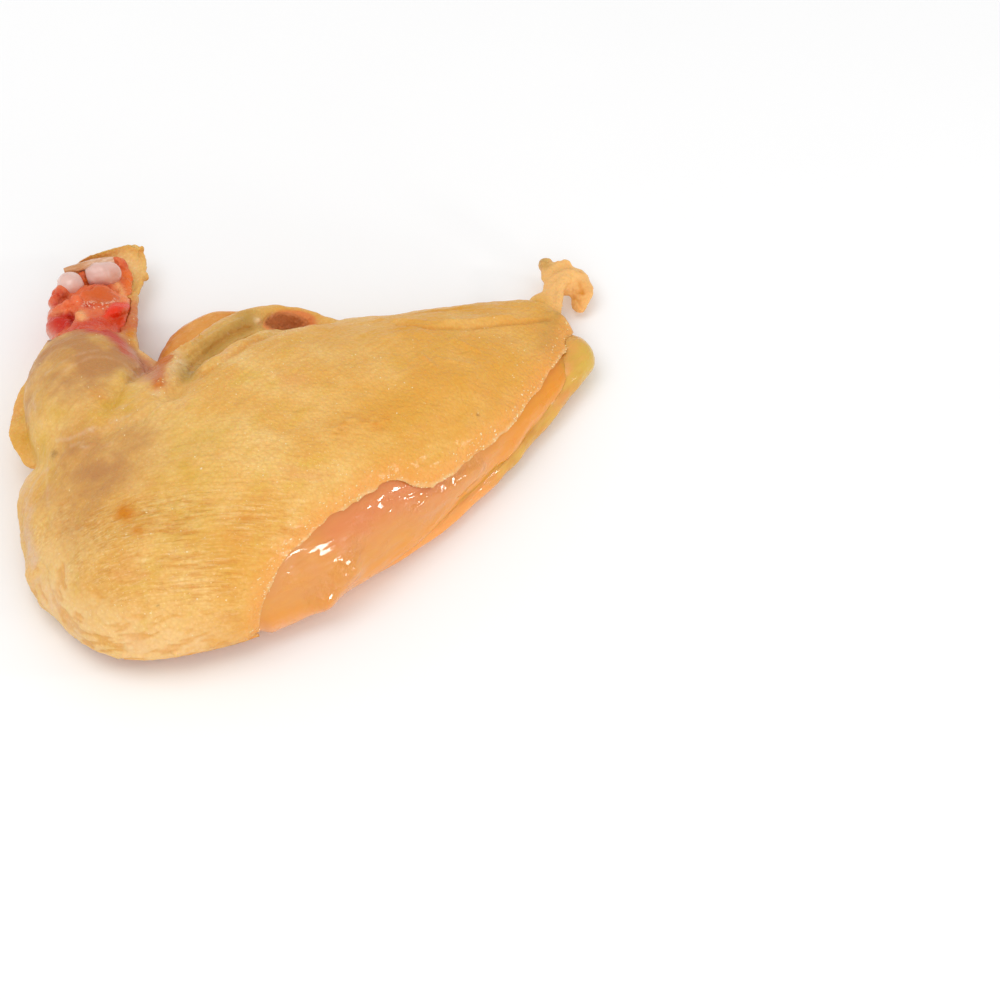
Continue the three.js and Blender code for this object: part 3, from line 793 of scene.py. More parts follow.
def muscle_finish():
    """Wet bare muscle: orange pink with long fibres, deeper in the pocket of the fold."""
    finish, tree, shader = new_finish("wet_bare_muscle")
    flesh = blotched(tree, 9, 3, 0.3, 0.7, (218, 146, 70), (220, 148, 54))
    flesh = flecked(tree, flesh, mottle(tree, 1.2, 3, (14, 1, 1), 22), 0.35, 0.7, 0.25, (212, 136, 62))
    flesh = tinted(tree, flesh, [
        ("rosy", 4, (216, 128, 72), 0.9), ("amber", 4, (226, 142, 10), 0.95),
        ("film", 2, (226, 170, 130), 0.9), ("pocket", 3, (226, 124, 60), 1)])
    feed(tree, shader.inputs["Base Color"], flesh)
    wet = plain_mask(tree, "wet")
    feed(tree, shader.inputs["Roughness"], ranged(tree, wet, 0, 1, 0.3, 0.12))
    fine = bumped(tree, mottle(tree, 0.8, 3, (10, 1, 1), 22), 0.08)
    ripples = product(tree, mottle(tree, 1.4, 3, (1.6, 1, 1), 60), wet)
    feed(tree, shader.inputs["Normal"], bumped(tree, ripples, 0.8, fine))
    set_wetness(shader, flesh=0.35, depth=2.5, coat=0.8, coat_roughness=0.03, glow=(1.0, 0.4, 0.2))
    return finish


def fillet_finish():
    """The inner fillet: olive yellow fat and pale membrane over pink fibres."""
    finish, tree, shader = new_finish("fatty_inner_fillet")
    flesh = blotched(tree, 7, 3, 0.35, 0.65, (214, 166, 66), (204, 144, 52))
    flesh = flecked(tree, flesh, mottle(tree, 1.0, 3, (12, 1, 1), 25), 0.4, 0.7, 0.3, (218, 138, 70))
    flesh = tinted(tree, flesh, [
        ("lobe", 2, (210, 170, 66), 0.95), ("rosy", 2, (226, 150, 80), 0.7),
        ("fleshy", 2, (236, 158, 76), 1), ("film", 2, (230, 184, 152), 0.8)])
    feed(tree, shader.inputs["Base Color"], flesh)
    set_roughness(tree, shader, 2, 0.28, 0.44)
    feed(tree, shader.inputs["Normal"], bumped(tree, mottle(tree, 0.9, 3, (8, 1, 1), 25), 0.3))
    set_wetness(shader, flesh=0.35, depth=2.0, coat=0.5, coat_roughness=0.08)
    return finish


def wing_finish():
    """Red flesh at the cut end of the wing joint, in its painted tints and painted shade."""
    finish, tree, shader = new_finish("red_cut_flesh")
    flesh = blotched(tree, 3, 3, 0.35, 0.65, (231, 117, 68), (220, 96, 54))
    flesh = tinted(tree, flesh, [
        ("gloss_brown", 1.5, (214, 96, 36), 1), ("orange", 1.5, (240, 120, 34), 1),
        ("salmon", 1, (240, 116, 66), 1), ("crimson", 1, (202, 34, 8), 1), ("pink", 2, (210, 62, 24), 1),
        ("scarlet", 0.8, (234, 58, 26), 1), ("whitish", 1, (246, 174, 112), 1),
        # recess_shade: painted shade, dark red in the hole, the grooves and between the knuckles.
        ("membrane", 1, (228, 170, 154), 1), ("recess_shade", 0.8, (142, 18, 3), 1)])
    flesh = flecked(tree, flesh, mottle(tree, 0.6), 0.62, 0.75, 0.25, (244, 156, 104))
    feed(tree, shader.inputs["Base Color"], flesh)
    set_roughness(tree, shader, 2, 0.2, 0.4)
    fine = bumped(tree, mottle(tree, 0.5, 3), 0.15)
    granular = rest_of_one(tree, plain_mask(tree, "gloss_brown"))
    rough = product(tree, granules(tree, 0.9, "SMOOTH_F1"), granular)
    feed(tree, shader.inputs["Normal"], bumped(tree, rough, 0.3, fine))
    set_wetness(
        shader, flesh=0.2, depth=0.8, coat=0.24, coat_roughness=0.04, glow=(1.0, 0.3, 0.2), gloss=0.2)
    return finish


def fat_finish():
    """Smooth orange fat of the flap behind the fold."""
    finish, tree, shader = new_finish("smooth_orange_fat")
    fat = blotched(tree, 6, 3, 0.3, 0.7, (232, 164, 76), (222, 146, 54))
    fat = tinted(tree, fat, [("deep", 3, (198, 100, 2), 1)])
    fat = flecked(tree, fat, mottle(tree, 0.9), 0.55, 0.75, 0.3, (238, 190, 116))
    feed(tree, shader.inputs["Base Color"], fat)
    set_roughness(tree, shader, 3, 0.36, 0.5)
    feed(tree, shader.inputs["Normal"], bumped(tree, mottle(tree, 1.2, 3), 0.3))
    set_wetness(shader, flesh=0.35, depth=2.0, coat=0.3, coat_roughness=0.12)
    return finish


def gristle_finish():
    """Lavender white cartilage of the knuckles, with a pink flush at its foot."""
    finish, tree, shader = new_finish("glossy_gristle")
    pale = blotched(tree, 3, 2, 0.35, 0.65, (232, 194, 182), (224, 182, 170))
    pale = tinted(tree, pale, [("flush", 1.5, (218, 158, 134), 0.45)])
    feed(tree, shader.inputs["Base Color"], pale)
    set_roughness(tree, shader, 1.5, 0.2, 0.34)
    feed(tree, shader.inputs["Normal"], bumped(tree, mottle(tree, 1.0), 0.12))
    set_wetness(shader, flesh=0.2, depth=1.0, coat=0.7, coat_roughness=0.05, glow=(1.0, 0.6, 0.5))
    return finish


def tendon_finish():
    """A flat cream tendon, silky along its length, its cut end darker with painted shade."""
    finish, tree, shader = new_finish("cream_tendon")
    silk = ranged(tree, mottle(tree, 0.4, 2, (8, 1, 1)), 0.35, 0.65)
    cream = mixed(tree, silk, linear(236, 194, 164), linear(216, 164, 126))
    # Tan at the left end; at the cut right end the same tint is painted shade.
    cream = tinted(tree, cream, [("tan", 1, (204, 142, 88), 0.9)])
    feed(tree, shader.inputs["Base Color"], cream)
    set_roughness(tree, shader, 1, 0.3, 0.45)
    feed(tree, shader.inputs["Normal"], bumped(tree, silk, 0.08))
    set_wetness(shader, flesh=0.25, depth=1.0, coat=0.5, coat_roughness=0.1, glow=(1.0, 0.55, 0.4))
    return finish


def bead_finish(name, first, second):
    """Small wet beads of fat or moisture, in the colour of what they lie on."""
    finish, tree, shader = new_finish(name)
    feed(tree, shader.inputs["Base Color"], blotched(tree, 2.5, 2, 0.35, 0.65, first, second))
    set_roughness(tree, shader, 1, 0.1, 0.25)
    set_wetness(shader, flesh=0.2, depth=1.0, coat=0.9, coat_roughness=0.04)
    return finish


def floor_finish():
    finish, tree, shader = new_finish("pale_floor")
    colour = mixed(tree, mottle(tree, 60), linear(250, 250, 250), linear(252, 252, 252))
    feed(tree, shader.inputs["Base Color"], colour)
    shader.inputs["Roughness"].default_value = 0.9
    return finish


def wing_place(places):
    """Where places lie on the wing joint: share along it, degrees round it, distance out from it."""
    shares = np.linspace(-0.1, 1.15, 251)
    centre, _, side, top, sizes = sweep_frame(WING, shares)
    near = (places[:, 1] > 0) & (places[:, 0] < 12)
    share, degrees, out = np.full((3, len(places)), [[-1.0], [0.0], [99.0]])
    spots = places[near]
    gaps = ((spots[:, None, :] - centre[None]) ** 2).sum(-1)
    best = np.argmin(gaps, axis=1)
    rel = spots - centre[best]
    wide = (rel * side[best]).sum(-1)
    high = (rel * top[best]).sum(-1)
    share[near] = shares[best]
    degrees[near] = np.degrees(np.arctan2(high / sizes[best, 1], wide / sizes[best, 0])) % 360
    radius = np.hypot(wide / sizes[best, 0], high / sizes[best, 1])
    out[near] = (radius - 1) * np.minimum(sizes[best, 0], sizes[best, 1])
    return share, degrees, out


def breast_place(places):
    """Length down from the crest and round the breast, in millimetres, for wrinkles that follow its edge."""
    usual_radius = 45
    plan = places[:, :2] - BREAST_CENTRE
    around = np.arctan2(plan[:, 1], plan[:, 0])
    ring = OUTLINE_PLACES[:-1] - BREAST_CENTRE
    angles = np.arctan2(ring[:, 1], ring[:, 0])
    order = np.argsort(angles)
    run = np.interp(around, angles[order], OUTLINE_RUN[:-1][order])
    rim = np.interp(around, angles[order], np.linalg.norm(ring, axis=1)[order])
    radius = np.linalg.norm(plan, axis=1)
    fall = station_value(CREST, places[:, 0]) - places[:, 2]
    return radius / rim * usual_radius + fall, run


def bare_distance(places):
    """Distance from the skin's bare edge, looked at square on: positive on the skin's side."""
    seen = np.stack([places[:, 0], places[:, 1:] @ BARE_UP], -1)
    first = BARE_EDGE[0][0]
    past_the_tip, down_the_side = [94.5, -60], [first, -90.0]
    edge = np.array(BARE_EDGE + [past_the_tip], float)
    distance = distance_to_path(seen, np.vstack([[down_the_side], edge]))
    line = np.interp(seen[:, 0], edge[:, 0], edge[:, 1])
    below = (seen[:, 0] > first) & (seen[:, 1] < line)
    return np.where(below, -distance, distance)


def bare_cutter():
    """The wedge that takes the skin off the keel side, its edge uneven as torn skin is."""
    shares = np.linspace(0, 1, 260)
    edge = curve_through(BARE_EDGE, shares)
    spots = np.concatenate([edge, np.zeros((len(edge), 1))], 1)
    edge = edge + np.stack([noise(spots, 5, 3, 3), noise(spots, 5, 4, 3)], -1) * 0.55
    foot = np.array([[edge[0, 0], -200], [edge[-1, 0], -200]])
    ring = np.vstack([edge, foot[::-1]])
    rings = []
    for depth in (200, -200):
        back = ring[:, 1] * BARE_UP[0] - depth * BARE_UP[1]
        rise = ring[:, 1] * BARE_UP[1] + depth * BARE_UP[0]
        rings.append(np.stack([ring[:, 0], back, rise], -1))
    tool = bpy.data.objects.new("bare_cutter", bpy.data.meshes.new("bare_cutter"))
    count = len(ring)
    walls = [[k, (k + 1) % count, count + (k + 1) % count, count + k] for k in range(count)]
    ends = [list(range(count))[::-1], list(range(count, 2 * count))]
    tool.data.from_pydata(np.concatenate(rings).tolist(), [], walls + ends)
    body = bmesh.new()
    body.from_mesh(tool.data)
    bmesh.ops.triangulate(body, faces=body.faces)
    bmesh.ops.recalc_face_normals(body, faces=body.faces)
    body.to_mesh(tool.data)
    body.free()
    bpy.context.scene.collection.objects.link(tool)
    return tool


def floor_cutter():
    half, low = 300, -80
    ring = np.array([[-half, -half], [half, -half], [half, half], [-half, half]], float)
    rings = np.stack([np.concatenate([ring, np.full((4, 1), z)], 1) for z in (0.0, low)])
    return solid("floor_cutter", rings)


def breast_room(offset):
    """The breast grown by an offset, to cut room for it out of another piece."""
    reaches = [*np.linspace(0.03, 1, 80), *np.linspace(1.06, 1.94, 24)]
    return solid("breast_room", breast_rings(offset, reaches, 240))


def knuckle_rooms():
    return [solid("knuckle_room", egg_rings(form, GAP)) for form in (OUTER_KNUCKLE, INNER_KNUCKLE)]


# Swells of the muscle, and the band that shines wettest: path, height or strength, half-width.
MUSCLE_SWELLS = [
    ([[-17, -47.5, 10.5], [-9, -46, 14.5]], 2.2, 4.4),
    ([[20, -37, 17], [29, -35, 15], [39, -32, 14]], 1.0, 3.2),
    ([[-36, -46.5, 7], [-28, -47.5, 7], [-19, -47.5, 9]], 1.3, 4.5)]
MUSCLE_SHINE = [
    ([[-19, -47.9, 12], [-10, -46.4, 15], [-5, -43, 22]], 1.0, 3.6),
    ([[0, -39, 26], [13, -36, 24.6], [22, -36, 20], [30, -35, 17], [40, -31, 15]], 1.0, 3),
    ([[14, -39, 19], [22, -39.5, 13]], 0.7, 3.4)]


def make_muscle():
    """The breast muscle: soft swells and fibres where it shows, shallow grooves on its cut underside."""
    reaches = [*np.linspace(0.02, 0.55, 24), *np.linspace(0.56, 1, 96), *np.linspace(1.02, 1.97, 46)]
    rib_turns = np.linspace(0, 0.5, 130, endpoint=False)
    keel_turns = np.linspace(0.5, 1, 330, endpoint=False)
    rings = breast_rings(0.0, reaches, np.concatenate([rib_turns, keel_turns]))
    thing = solid("breast_muscle", rings)
    cut_away(thing, solid("fillet_room", swept(FILLET, 60, 40, -0.1)))
    places = places_of(thing)
    shows = smoothstep(-bare_distance(places), 0.5, 3.5)
    calm = 1 - 0.9 * swell(distance_to_path(places, [[-15, -47, 12], [-7, -45, 19]]), 9)
    waves = 0.5 * calm * noise(places, [13, 8, 8], 11, 2) + 0.1 * noise(places, [8, 1.8, 1.8], 12, 2)
    swells = strokes(places, MUSCLE_SWELLS)
    shine = strokes(places, MUSCLE_SHINE)
    shine *= 0.5 + 0.5 * smoothstep(noise(places, [9, 5, 5], 17, 2), -0.4, 0.5)
    ripples = 0.2 * noise(places, [3.4, 2.4, 2.4], 16, 2)
    raise_surface(thing, shows * (waves + swells + shine * ripples))
    places, normals = places_of(thing), normals_of(thing)
    under = smoothstep(-normals[:, 2], 0.7, 0.95) * smoothstep(2.0 - places[:, 2], 0.5, 1.6)
    grooves = 0.5 + 0.5 * noise(places, [34, 3.2, 9], 13, 3)
    places[:, 2] += under * 0.9 * np.clip(grooves, 0, 1) ** 1.5
    set_places(thing, places)
    amber = 1.2 * smoothstep(15 - places[:, 2], 0, 8) + smoothstep(places[:, 0], 38, 56)
    patchy = smoothstep(noise(places, [7, 4, 4], 15, 2), -0.3, 0.4)
    rim = smoothstep(distance_to_path(places[:, 1:], [[-49, 4], [-48.5, 7]]), 5, 0) * (places[:, 0] < 30)
    membrane = 1.4 * np.clip(noise(places, [26, 5, 7], 14, 3) - 0.45, 0, 1)
    membrane = membrane * smoothstep(-normals[:, 2], 0, 0.5)
    paint(
        thing, amber=0.8 * amber, film=np.maximum(membrane, 0.6 * rim), wet=shine + 0.25 * patchy * shows,
        pocket=strokes(places, [([[12, 41, 16], [27, 39, 14]], 1, 9)]),
        rosy=strokes(places, [([[-10, -42, 28], [8, -38, 26], [24, -34, 22]], 1, 7)]))
    return thing


FILLET_RIDGE = [[-20, -40.5, 7], [22, -36, 8.2], [46, -27, 8.4], [68, -16, 8.8], [82, -8, 9.4]]


def make_fillet():
    """The inner fillet along the keel edge, with a fold of membrane along its top and fibre grooves."""
    thing = solid("fillet_muscle", swept(FILLET, 190, 90))
    cut_away(thing, floor_cutter())
    places = places_of(thing)
    ridge = distance_to_path(places, FILLET_RIDGE)
    free = smoothstep(places[:, 2], 0.3, 2.0)
    fold = swell(ridge, 0.9) * smoothstep(places[:, 0], -6, 12)
    tip = swell(distance_to_path(places, [[88.5, -1.5, 11.5], [91, 0.5, 10]]), 3.6)
    fibres = 0.35 * noise(places, [14, 4, 4], 21, 2) + 0.12 * noise(places, [8, 1.4, 1.4], 22, 2)
    raise_surface(thing, free * (fibres + 0.5 * fold + 0.9 * tip))
    lobe = smoothstep(places[:, 0], 78, 88)
    rosy = np.clip(noise(places, [20, 4, 4], 23, 2), 0, 1)
    rosy = strokes(places, [([[90, -1, 10], [84, 1, 10]], 1, 3)], rosy)
    fleshy = smoothstep(54 - places[:, 0], 0, 16) + 0.8 * smoothstep(ridge, 3.4, 1.2) * (1 - lobe)
    fleshy = strokes(places, [([[78, -3, 12], [84, 0, 12.4], [86, 3.5, 11]], 0.8, 3)], fleshy)
    film = swell(ridge, 1.3) * (1 - lobe) * smoothstep(places[:, 0], -4, 16)
    paint(thing, film=film, lobe=lobe, rosy=0.7 * rosy, fleshy=fleshy)
    return thing


# Details of the wing joint's cut end: lumps, what fills up to the collar, the glossy patch, strips, a hole.
RED_BULGE = ([-38.8, 69.0, 17.8], [4.0, 5.2, 4.0], 20)
END_LUMPS = [
    RED_BULGE, ([-37.4, 74.9, 17.6], [3.2, 1.4, 1.8], -20), ([-34.8, 82.0, 15.8], [2.6, 2.4, 2.5], 0),
    ([-33.6, 66.8, 22.5], [1.5, 2.6, 1.5], 12), ([-12.4, 88.4, 12.6], [3.4, 3.0, 2.6], 0),
    ([-23.4, 87.6, 13.6], [3.4, 3.0, 3.4], 0)]
BRIDGE = [
    [-12.6, 86.5, 11.4, 2.6, 1.8, 0], [-14.2, 80, 10.8, 2.6, 1.9, 0], [-17.4, 73.5, 12.2, 2.5, 2.4, 0],
    [-21.4, 67.5, 13.8, 2.3, 2.6, 0]]
FILL = [
    [-17.6, 72.5, 15.2, 1.7, 1.5, 0], [-19.8, 68.6, 16.4, 1.8, 1.6, 0], [-22, 64.6, 17.8, 1.8, 1.6, 0],
    [-24.4, 60.6, 19.6, 1.6, 1.4, 0]]
SCARLET_SLAB = [
    [-27, 64, 22.3, 0.7, 0.6, 0], [-24.6, 65.2, 21.8, 1.8, 1.3, 0], [-21.8, 67, 20, 2.6, 1.5, 0],
    [-19.2, 68.8, 17.8, 1.5, 1.1, 0]]
KNOT_PATH = [[-35, 73.4, 19.4], [-33.4, 76.4, 18.8], [-31, 78.2, 18.8], [-30.6, 74.2, 20.4]]
GLOSS_MIDDLE = np.array([-24.4, 74.0, 20.2])
GLOSS_RIM = [[-28.8, 72.2, 21.2], [-26.6, 69.8, 21.6], [-23.2, 69.2, 20.8], [-20.4, 70.6, 19]]
SCARLET_FLAP = [[-26.6, 64.2, 22.4], [-23.2, 66, 20.6], [-19, 68.8, 17.2]]
WHITE_STRIP = [[-15.4, 82.6, 14.4], [-15.6, 80.6, 13.2], [-17.4, 73.6, 15.6], [-18.8, 70.4, 16.8]]
ORANGE_STRIP = [
    [-11.4, 86, 11], [-11.6, 81.7, 11], [-14, 77.8, 11.4], [-16.4, 71.6, 14.4], [-19.6, 67.6, 16]]
DARK_HOLE = [[-32.4, 80.4, 18.2], [-33.4, 79.2, 18.4]]
# Grooves of the cut end, and its painted marks: path, height or strength, half-width.
END_GROOVES = [
    (DARK_HOLE, -2.0, 1.0),
    ([[-35, 72, 20.4], [-35.4, 69, 21.8], [-36.6, 66.4, 22.6], [-40, 63.6, 23], [-44, 63, 20]], -1.4, 0.8),
    ([[-29.4, 71, 21.8], [-28.8, 76, 19.6], [-25, 79.5, 17.4]], -0.9, 0.8),
    ([GLOSS_MIDDLE, GLOSS_MIDDLE + 0.1], -1.3, 3.4),
    (GLOSS_RIM, 0.8, 0.8)]
CRIMSON_MARKS = [
    ([[-36, 79.6, 17.2], [-35.6, 77.4, 17.8]], 0.8, 1.3),
    ([[-34.4, 82.8, 17.6], [-36, 84, 15]], 0.5, 2.2),
    ([[-37.4, 67.4, 21.4], [-35.8, 71, 20.6]], 0.7, 2.0),
    ([[-29.6, 72.4, 21], [-29.4, 70, 21.8]], 0.6, 1.4)]
MEMBRANE_MARKS = [
    ([[-44, 65, 19], [-43.2, 69, 17.6], [-41.4, 74, 16.2], [-39.4, 78.8, 15], [-37.8, 82.8, 14]], 1, 2.5)]
WING_MARKS = {
    "whitish": [
        (WHITE_STRIP, 1, 1.3),
        ([[-33.8, 65.6, 23.6], [-33.2, 68.8, 23.4]], 1, 1.6),
        ([[-38.6, 74.8, 19.2], [-36, 74.4, 19.8]], 0.4, 1.0)],
    "salmon": [
        (np.array(KNOT_PATH) + [0, 0, 0.2], 1, 2.4),
        (np.array(FILL)[:, :3] + [0.6, 0, 0.6], 1, 1.6)],
    "orange": [
        (ORANGE_STRIP, 1, 2.2),
        ([[-23.4, 88, 14], [-22.6, 84.4, 17]], 0.8, 1.6)],
    # Painted shade in the hole, along a groove and between the knuckles.
    "recess_shade": [
        (DARK_HOLE, 1, 1.7),
        ([[-35, 72, 20], [-35.4, 69, 21.2], [-36.6, 66.4, 22]], 0.8, 0.9),
        ([[-40, 63.6, 22.4], [-44, 63, 19.6]], 0.4, 1.0),
        ([[-23.6, 86, 17], [-23.8, 83.6, 17.6]], 0.4, 1.4)],
    "pink": [([[-38, 60, 25], [-31, 62, 24.5], [-26, 60, 23.5], [-24, 62, 20.5]], 1, 4.0)]}


def make_wing_flesh():
    """The flesh of the wing joint with its lumps at the cut end, and a grown copy that hollows the skin."""
    lumps = [egg_rings(form) for form in FLESH_LUMPS + END_LUMPS]
    knots = lumps_along(KNOT_PATH, 20, 0.55, 0.7, 1.3, 34)
    thing = solid(
        "wing_flesh", swept(WING, 70, 80), *lumps, *knots, swept(BRIDGE, 30, 20), swept(FILL, 30, 20),
        swept(SCARLET_SLAB, 20, 20))
    fuse(thing, voxel=0.42, smoothing=2)
    places = places_of(thing)

    def near(path, width):
        return swell(distance_to_path(places, path), width)

    end = smoothstep(places[:, 1], 56, 64)
    calm = 1 - 0.85 * smoothstep(6.0 - np.linalg.norm(places - GLOSS_MIDDLE, axis=1), 0, 2)
    calm *= 1 - 0.6 * smoothstep(6.0 - np.linalg.norm(places - RED_BULGE[0], axis=1), 0, 2)
    calm *= 1 - 0.8 * smoothstep(4.0 - distance_to_path(places, SCARLET_FLAP), 0, 1)
    heights = end * calm * (0.45 * noise(places, 4.5, 31, 2) + 0.3 * noise(places, 1.5, 32, 2))
    heights = strokes(places, END_GROOVES, heights)
    heights += 0.8 * near(WHITE_STRIP, 1.0) - 1.8 * near([[-29.6, 80.6, 18.8], [-26, 80.4, 18.8]], 1.8)
    raise_surface(thing, heights)
    bake(thing, "SMOOTH", factor=0.5, iterations=1)
    rooms = [(COLLAR, GAP), (COLLAR_BACK, GAP), (COLLAR_FOLD, -FOLD_SUNK), (COLLAR_RISE, -FOLD_SUNK)]
    cut_away(thing, *[solid("collar_room", swept(form, 60, 40, offset)) for form, offset in rooms])
    grown = bpy.data.objects.new("wing_flesh_grown", thing.data.copy())
    bpy.context.scene.collection.objects.link(grown)
    raise_surface(grown, np.full(len(grown.data.vertices), GAP))
    cut_away(thing, breast_room(GAP), *knuckle_rooms(), solid("tendon_room", swept(TENDON, 20, 20, GAP)))
    drop_scraps(thing)
    places = places_of(thing)
    on_bulge = np.linalg.norm((places - RED_BULGE[0]) / RED_BULGE[1], axis=1)
    membrane = strokes(places, MEMBRANE_MARKS)
    crimson = strokes(places, CRIMSON_MARKS, 0.95 * smoothstep(1.45 - on_bulge, 0, 0.3))
    gloss = np.linalg.norm((places - GLOSS_MIDDLE) / [1.2, 1.1, 1], axis=1)
    slab = np.array(SCARLET_SLAB)[:, :3]
    scarlet = smoothstep(2.4 - distance_to_path(places, slab[1:]), 0, 0.5) + near(slab[:2], 1.0)
    marks = {name: strokes(places, lines) for name, lines in WING_MARKS.items()}
    paint(
        thing, **marks, membrane=membrane, crimson=crimson * (1 - 0.8 * membrane), scarlet=scarlet,
        gloss_brown=smoothstep(5.2 - gloss, 0, 1.2), wet=near(GLOSS_RIM, 1.5) * (1 - scarlet))
    return thing, grown


def pull_of_skin(places):
    """Lengths along and across the run of the keel side's fine wrinkles, and how strong they are."""
    x, y, z = places.T
    along = 0.906 * x - 0.423 * y
    fall = station_value(CREST, x) - z
    across = 0.423 * x + 0.906 * y - 0.8 * fall
    across = across + 1.6 * noise(places, 24, 49)
    low_left = smoothstep(-across, 18, 46) * smoothstep(-x, 4, 40)
    patchy = 0.45 + 0.55 * smoothstep(noise(places, [16, 8, 8], 50, 2), -0.35, 0.35)
    return along, across, low_left * patchy


def keel_wrinkles(places):
    along, across, strength = pull_of_skin(places)
    coarse = wrinkles(across, along, 2.1, 11, 44) - 0.72
    fine = wrinkles(across, along, 1.35, 5, 45) - 0.72
    return strength * (0.7 * coarse + 0.6 * fine)


def edge_pleats(places):
    """Where short pleats may follow the skin's rim at the shoulder, and how deep they are, from 0 to 1."""
    x, y, z = places.T
    down, run = breast_place(places)
    strength = smoothstep(-x, 36, 66) * smoothstep(12 - y, 0, 24)
    strength = strength * smoothstep(29 - z, 0, 12) * smoothstep(bare_distance(places), 3, 12)
    flat = np.stack([down, run, 0 * run], -1)
    flat[:, 0] += 1.1 * noise(flat, [5, 5, 1], 71)
    return strength, smoothstep(noise(flat, [1.5, 4.6, 1], 67, 2), 0.1, 0.75)


def skin_heights(places):
    """How far the skin's outer face stands above its even thickness."""
    x, y, z = places.T
    share, degrees, out = wing_place(places)
    on_wing = smoothstep(3.2 - out, 0, 2) * smoothstep(share, 0.12, 0.3)
    on_breast = 1 - on_wing
    heights = 0.4 * noise(places, [22, 11, 14], 41, 2) + 0.16 * noise(places, [5, 3.2, 3.2], 42, 2)
    pleated, pleats = edge_pleats(places)
    heights += 0.07 * (1 - pleated) * noise(places, 1.4, 43) - 0.34 * on_breast * pleated * pleats
    heights += 0.6 * on_breast * (1 - 0.8 * pleated) * keel_wrinkles(places)
    rib = smoothstep(y - 0.12 * x, -4, 12) * smoothstep(x, 20, 45)
    across = y + 0.8 * (28 - z)
    heights += 0.42 * rib * (wrinkles(across, x, 2.6, 22, 46) - 0.75)
    across = y - 0.3 * x
    heights += 0.17 * on_breast * (wrinkles(across, x, 2.2, 18, 47) - 0.75)
    heights += 0.26 * on_wing * (wrinkles(share * WING_LENGTH, degrees / 4, 1.7, 15, 48) - 0.75)
    heights = strokes(places, CREASES, heights)
    plan = distance_to_path(places[:, :2], [[3, 27], [13, 31], [23, 33]])
    heights -= 1.0 * swell(plan, 3.4) * smoothstep(z, 16, 22)
    tail = smoothstep(x, 90, 94)
    from_hook = np.hypot(x - 99, y - 17)
    heights += tail * (0.3 * noise(places, [5, 5, 2.2], 52, 2)
                       + 0.24 * (wrinkles(from_hook, y, 1.8, 9, 53) - 0.7))
    edge = smoothstep(bare_distance(places), -0.5, 5.5)
    reach = station_value(SLEEVE_REACH, degrees)
    sleeve_edge = np.where(out < 6, smoothstep((reach - share) * WING_LENGTH, -1, 7), 1)
    sleeve_edge = np.where(share > 0.3, sleeve_edge, 1)
    pocket = np.linalg.norm((places - POCKET[0]) / POCKET[1], axis=1)
    rim = smoothstep(pocket, 0.95, 1.5)
    over = smoothstep(z, 2.5, 5)
    heights -= (SKIN - 0.6) * (1 - edge) * over
    fold = distance_to_path(places, np.array(COLLAR_FOLD)[:, :3])
    heights -= (WING_SKIN - 0.5) * (1 - sleeve_edge) * smoothstep(3 - out, 0, 1) * smoothstep(fold, 2.4, 4.2)
    strip = swell(distance_to_path(places[:, :2], [[-17, 22], [-6, 30], [6, 36], [16, 39]]), 7)
    along = 0.9 * x + 0.44 * y
    across = 0.9 * y - 0.44 * x - 0.5 * z
    heights += 0.75 * strip * on_breast * (wrinkles(across, along, 2.8, 15, 72) - 0.72)
    return heights - 0.6 * (1 - rim)


# The lip of the skin beside the pocket, and the small knob on it.
LIP = [
    [-32.7, 18.8, 37.3], [-28.7, 23.3, 35.1], [-24.9, 26.7, 33.5], [-21.5, 30.7, 31.1], [-16.7, 39.9, 24.6],
    [-12.9, 41.2, 23.8], [-8.2, 42.5, 23.3], [1.6, 44.3, 22.5], [6.2, 45.9, 21.4], [14.7, 47, 19.3]]
LIP_KNOB = ([10.1, 42.4, 20.6], [1.2, 1.0, 0.9], 0)
# Rows of small lumps on the skin's edges: path, count, spread, least and most half-size, seed.
TIP_FRILL = ([[87.8, 9.4, 11.8], [89.2, 7.8, 11.2], [90.2, 5, 10.2]], 16, 0.45, 0.5, 1.1, 68)
LIP_FRILL = (np.array(LIP[:7]) + [0, 0, 0.4], 44, 0.5, 0.35, 0.8, 55)
LOOSE_FRILLS = [
    (np.array(TAIL)[-3:, :3], 8, 0.7, 0.8, 1.8, 56), (np.array(TAIL_LOBE)[:, :3], 8, 0.8, 0.7, 1.6, 57),
    (np.array(COLLAR)[2:, :3], 14, 1.3, 0.9, 2.0, 58)]


def sleeve_rings():
    """The skin round the wing joint, its edge uneven and turned in at the cut end."""
    sides = 96
    angle = np.arange(sides) / sides * 360
    ragged = np.stack([np.cos(np.radians(angle)), np.sin(np.radians(angle)), 0 * angle], -1)
    reach = station_value(SLEEVE_REACH, angle) + 0.02 * noise(ragged, 0.22, 51, 2)
    ends = np.sin(np.linspace(1, 0.14, 7) * math.pi / 2 * 0.97)
    return np.concatenate([
        sweep_rings(WING, np.zeros(7), sides, GAP + WING_SKIN, np.sqrt(1 - ends ** 2), -ends),
        sweep_rings(WING, np.linspace(0, 1, 80)[:, None] * reach, sides, GAP + WING_SKIN),
        sweep_rings(WING, reach[None, :], sides, -TURN_IN)])


